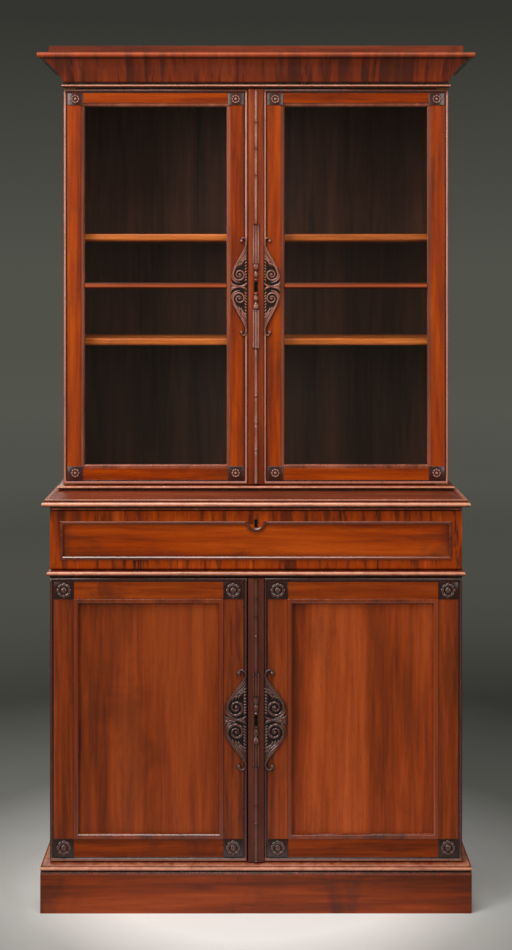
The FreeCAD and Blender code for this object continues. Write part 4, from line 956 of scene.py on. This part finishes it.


# Mouldings: a stage, how far the back lies behind the doors' face, and a section of points (out, up,
# relief) from that face and from the moulding's foot. The relief paints light: a highlight on each nose,
# lighter lit tops, and shadow in the dark lines under the noses and in the quirks.
DOOR_THICK = 0.025
MOULDINGS = {
    "cornice_bead": (
        "upper", 0.0,
        [(0.0006, 0.0, 0.0), (0.0006, 0.0008, 0.1)]
        + round_nose(0.0008, 0.0045, 0.0052, 0.0037, -85, 85)
        + [(0.0006, 0.0084, 0.0), (0.0006, 0.013, 0.0)]),
    "upper_base_moulding": (
        "upper", DOOR_THICK,
        [(0.0105, 0.0, 0.0), (0.0105, 0.0048, 0.0)]
        + round_nose(0.0112, 0.0088, 0.0038, 0.0036, -85, 85)
        + [(0.0105, 0.0128, 0.5), (0.0, 0.014, 0.4)]),
    "waist_bead": (
        "lower", DOOR_THICK,
        [(0.001, 0.0, 0.0), (0.001, 0.0022, 0.0)]
        + round_nose(0.0009, 0.0086, 0.007, 0.0062, -85, 80)
        + [(0.0009, 0.015, 0.5)]),
    "plinth_moulding": (
        "lower", DOOR_THICK,
        [(0.022, 0.0, 0.42), (0.022, 0.0062, 0.3), (0.0215, 0.0068, 0.15), (0.0175, 0.007, 0.05),
         (0.0175, 0.0094, 0.1)]
        + round_nose(0.018, 0.0153, 0.0055, 0.0057, -80, 75)
        + [(0.0165, 0.0218, 0.74), (0.0, 0.025, 0.5)]),
    "lower_top": (
        "lower", 0.0,
        [(0.0008, 0.0, 0.5), (0.0008, 0.0044, 0.5), (0.0008, 0.005, 0.0), (0.0008, 0.0088, 0.0)]
        + round_nose(0.0125, 0.0158, 0.0075, 0.0068, -80, 80, 1.0)
        + [(0.0138, 0.0229, 0.1), (0.0135, 0.0266, 0.45), (0.0124, 0.028, 0.8), (0.0, 0.028, 0.5)]),
}


def moulding(node_name):
    """A moulding mitred round the front and the sides of a case."""
    stage, deep, section = MOULDINGS[node_name]
    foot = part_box(node_name)[0].z
    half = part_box(f"{stage}_sides")[1].x
    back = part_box(f"{stage}_sides")[1].y
    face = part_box(f"{stage}_left_door_stiles")[0].y
    rows = []
    for out, up, relief in section:
        edge = half + out
        front = face - out
        plan = ((-edge, back), (-edge, front), (edge, front), (edge, back))
        rows.append([((x, y, foot + up), relief) for x, y in plan])
    inner = ((-half, back), (-half, face + deep), (half, face + deep), (half, back))
    for up in (section[-1][1], section[0][1]):
        rows.append([((x, y, foot + up), 0.2) for x, y in inner])
    shape = Shape()
    first = shape.sheet(rows, close_rows=True)
    columns = len(inner)
    for column in (0, columns - 1):
        shape.cap(range(first + column, first + column + columns * len(rows), columns), column > 0)
    return shape.piece(f"{node_name}_run", "carcase", "moulding_painted_light")


def top_board():
    """The board of the lower top, with the mortise that takes the fall's bolt."""
    low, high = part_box("lower_top")
    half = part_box("lower_sides")[1].x
    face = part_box("lower_left_door_stiles")[0].y
    bolt_low, bolt_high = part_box("fall_bolt")
    play = 0.0003
    travel = 0.008

    def ring(left, right, front, back, level):
        plan = ((left, front), (right, front), (right, back), (left, back))
        return [((x, y, level), 0.5) for x, y in plan]
    outside = (-half, half, face, high.y)
    mortise = (bolt_low.x - play, bolt_high.x + play, bolt_low.y - play, bolt_high.y + play)
    shape = Shape()
    rows = [ring(*outside, high.z), ring(*outside, low.z)]
    rows += [ring(*mortise, low.z), ring(*mortise, low.z + travel)]
    first = shape.sheet(rows, close_columns=True)
    corners = len(rows[0])
    last = first + corners * (len(rows) - 1)
    shape.cap(range(first, first + corners))
    shape.cap(range(last, last + corners), True)
    shape.piece("lower_top_board", "carcase", "case_top")


# A tongue's section: across and deep
TONGUE = ((-0.004, -0.001), (-0.003, -0.002), (0.003, -0.002), (0.004, -0.001), (0.004, 0.001),
          (0.003, 0.002), (-0.003, 0.002), (-0.004, 0.001))
TONGUE_SHORT = 0.002
BACK_BOARDS = 6


def back_tongues(stage):
    """Thin dark tongues that close the gaps between the boards of a back."""
    low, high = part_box(f"{stage}_back")
    pitch = (high.x - low.x) / BACK_BOARDS
    middle = (low.y + high.y) / 2
    shape = Shape()
    for index in range(1, BACK_BOARDS):
        x = low.x + pitch * index
        shape.tube([[((x + across, middle + deep, z), 0.5) for across, deep in TONGUE]
                    for z in (low.z + TONGUE_SHORT, high.z - TONGUE_SHORT)])
    shape.piece(f"{stage}_back_tongues", "carcase", "inside_wood")


# Words in the names of the nodes whose edges are softened
SOFT_EDGES = ("stiles", "rails", "_panel", "boards", "sides", "blocking", "fall_front", "cove",
              "secretaire", "drawer", "pigeonholes", "shelves")
SOFT_WIDTH = 0.0007
SOFT_ANGLE = 40
WELD_GAP = 0.00002
for name, item in nodes.items():
    if any(word in name for word in SOFT_EDGES):
        weld = item.modifiers.new("weld", "WELD")
        weld.merge_threshold = WELD_GAP
        soften = item.modifiers.new("soft_edges", "BEVEL")
        soften.width = SOFT_WIDTH
        soften.segments = 2
        soften.limit_method = "ANGLE"
        soften.angle_limit = math.radians(SOFT_ANGLE)
        soften.harden_normals = True

for node_name in MOULDINGS:
    run = moulding(node_name)
    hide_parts(node_name)
top_board()

for stage in STAGE_WORDS:
    back_tongues(stage)
    for word in SIDE_WORDS:
        carve_door(stage, word)
        bead_door(stage, word)
    meeting_strip(stage)
fall_low, fall_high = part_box("fall_front")
fall_ground = Ground(0.0, 1, fall_high.z - FALL_KEY_DROP, fall_low.y)
key_plate("fall", "fall", fall_ground, FALL_KEY, KEY_PROUD)


FLOOR_REACH = 30.0
# The floor's colours: distance from the middle, then screen values. They paint a pale pool of light round
# the middle, and far tones lightened to make up for the lamps' falloff
FLOOR_TONES = ((0.48, 236, 235, 233), (0.72, 168, 168, 164), (1.04, 112, 113, 107), (2.0, 66, 67, 62),
               (3.8, 100, 101, 93), (8.0, 156, 157, 144), (14.0, 178, 178, 161), (30.0, 176, 176, 158))


def floor():
    """A floor painted with a pale pool of light round the middle, darker farther out, and lightened far
    away to make up for the lamps' falloff, so that it fades into the backdrop.
    """
    mesh = bpy.data.meshes.new("floor")
    reach = FLOOR_REACH
    corners = [(-reach, -reach, 0), (reach, -reach, 0), (reach, reach, 0), (-reach, reach, 0)]
    mesh.from_pydata(corners, [], [(0, 1, 2, 3)])
    item = bpy.data.objects.new("floor", mesh)
    bpy.context.scene.collection.objects.link(item)
    graph = Graph("floor_paint")
    distance = graph.node("ShaderNodeVectorMath", {0: graph.place}, operation="LENGTH").outputs["Value"]
    cloud = graph.noise(graph.place, scale=1.5, detail=3.0)
    share = graph.calc(graph.calc(distance, graph.calc(cloud, 0.1, "MULTIPLY")), reach, "DIVIDE")
    stops = [(far / reach, srgb(*tone)) for far, *tone in FLOOR_TONES]
    graph.shade(Base_Color=graph.ramp(share, stops))
    graph.shade(Roughness=0.7, Specular_IOR_Level=0.2)
    mesh.materials.append(graph.material)


LAMP_COLOUR = (1.0, 0.97, 0.94)
# Lamps: a place, what it is turned to, its size and its power
LAMPS = {
    "overhead": ((-0.8, -1.6, 4.2), (0, 0, 1.2), (3.2, 1.6), 130),
    "front_left": ((-3.2, -3.4, 2.6), (0, 0, 1.1), (1.8, 2.6), 110),
    "front_right": ((3.0, -3.6, 2.2), (0, 0, 1.0), (1.8, 2.6), 60),
    "behind": ((-0.4, 3.6, 3.4), (0, 0, 1.2), (2.4, 2.0), 35),
}


def lamp(name, place, target, size, power):
    """A soft lamp that doesn't show as a bright shape through the panes."""
    data = bpy.data.lights.new(name, "AREA")
    data.shape = "RECTANGLE"
    data.size, data.size_y = size
    data.energy = power
    data.color = LAMP_COLOUR
    item = bpy.data.objects.new(name, data)
    item.location = place
    item.rotation_euler = (Vector(target) - Vector(place)).to_track_quat("-Z", "Y").to_euler()
    item.visible_transmission = False
    bpy.context.scene.collection.objects.link(item)


# The world: its soft light, and the backdrop from the horizon up
SOFT_COLOUR = srgb(176, 178, 178)
SOFT_STRENGTH = 0.45
BACKDROP_LOW, BACKDROP_HIGH = tones((80, 81, 73), (52, 53, 48))
BACKDROP_RISE = 0.16


def surroundings():
    """The lamps and the world; the backdrop shows to the camera, in reflections and through glass."""
    world = bpy.data.worlds.new("studio")
    bpy.context.scene.world = world
    world.use_nodes = True
    sky = Nodes(world.node_tree)
    soft = sky.tree.nodes["Background"]
    sky.feed(soft.inputs["Color"], SOFT_COLOUR)
    sky.feed(soft.inputs["Strength"], SOFT_STRENGTH)
    view = sky.node("ShaderNodeTexCoord").outputs["Generated"]
    height = sky.node("ShaderNodeSeparateXYZ", {"Vector": view}).outputs["Z"]
    fade = sky.ramp(height, [(0.0, BACKDROP_LOW), (BACKDROP_RISE, BACKDROP_HIGH)])
    seen = sky.node("ShaderNodeBackground", {"Color": fade})
    light = sky.node("ShaderNodeLightPath").outputs
    shown = sky.calc(light["Is Camera Ray"], light["Is Glossy Ray"], "MAXIMUM")
    shown = sky.calc(shown, light["Is Transmission Ray"], "MAXIMUM")
    shaders = {0: shown, 1: soft.outputs["Background"], 2: seen.outputs["Background"]}
    blend = sky.node("ShaderNodeMixShader", shaders)
    sky.feed(sky.tree.nodes["World Output"].inputs["Surface"], blend.outputs["Shader"])
    for name, settings in LAMPS.items():
        lamp(name, *settings)


SENSOR = 36.0
LENS = 58.9
CAMERA_SHIFT = -0.216
CAMERA_DISTANCE = 4.23
CAMERA_HEIGHT = 1.647


def camera():
    """A level camera in front of the middle, shifted down to frame the whole."""
    data = bpy.data.cameras.new("camera")
    data.sensor_fit = "VERTICAL"
    data.sensor_width = SENSOR
    data.sensor_height = SENSOR
    data.lens = LENS
    data.shift_y = CAMERA_SHIFT
    item = bpy.data.objects.new("camera", data)
    item.location = (0.0, -CAMERA_DISTANCE, CAMERA_HEIGHT)
    item.rotation_euler = (math.radians(90), 0, 0)
    bpy.context.scene.collection.objects.link(item)
    bpy.context.scene.camera = item


floor()
surroundings()
camera()
bpy.context.scene.view_settings.view_transform = "Standard"
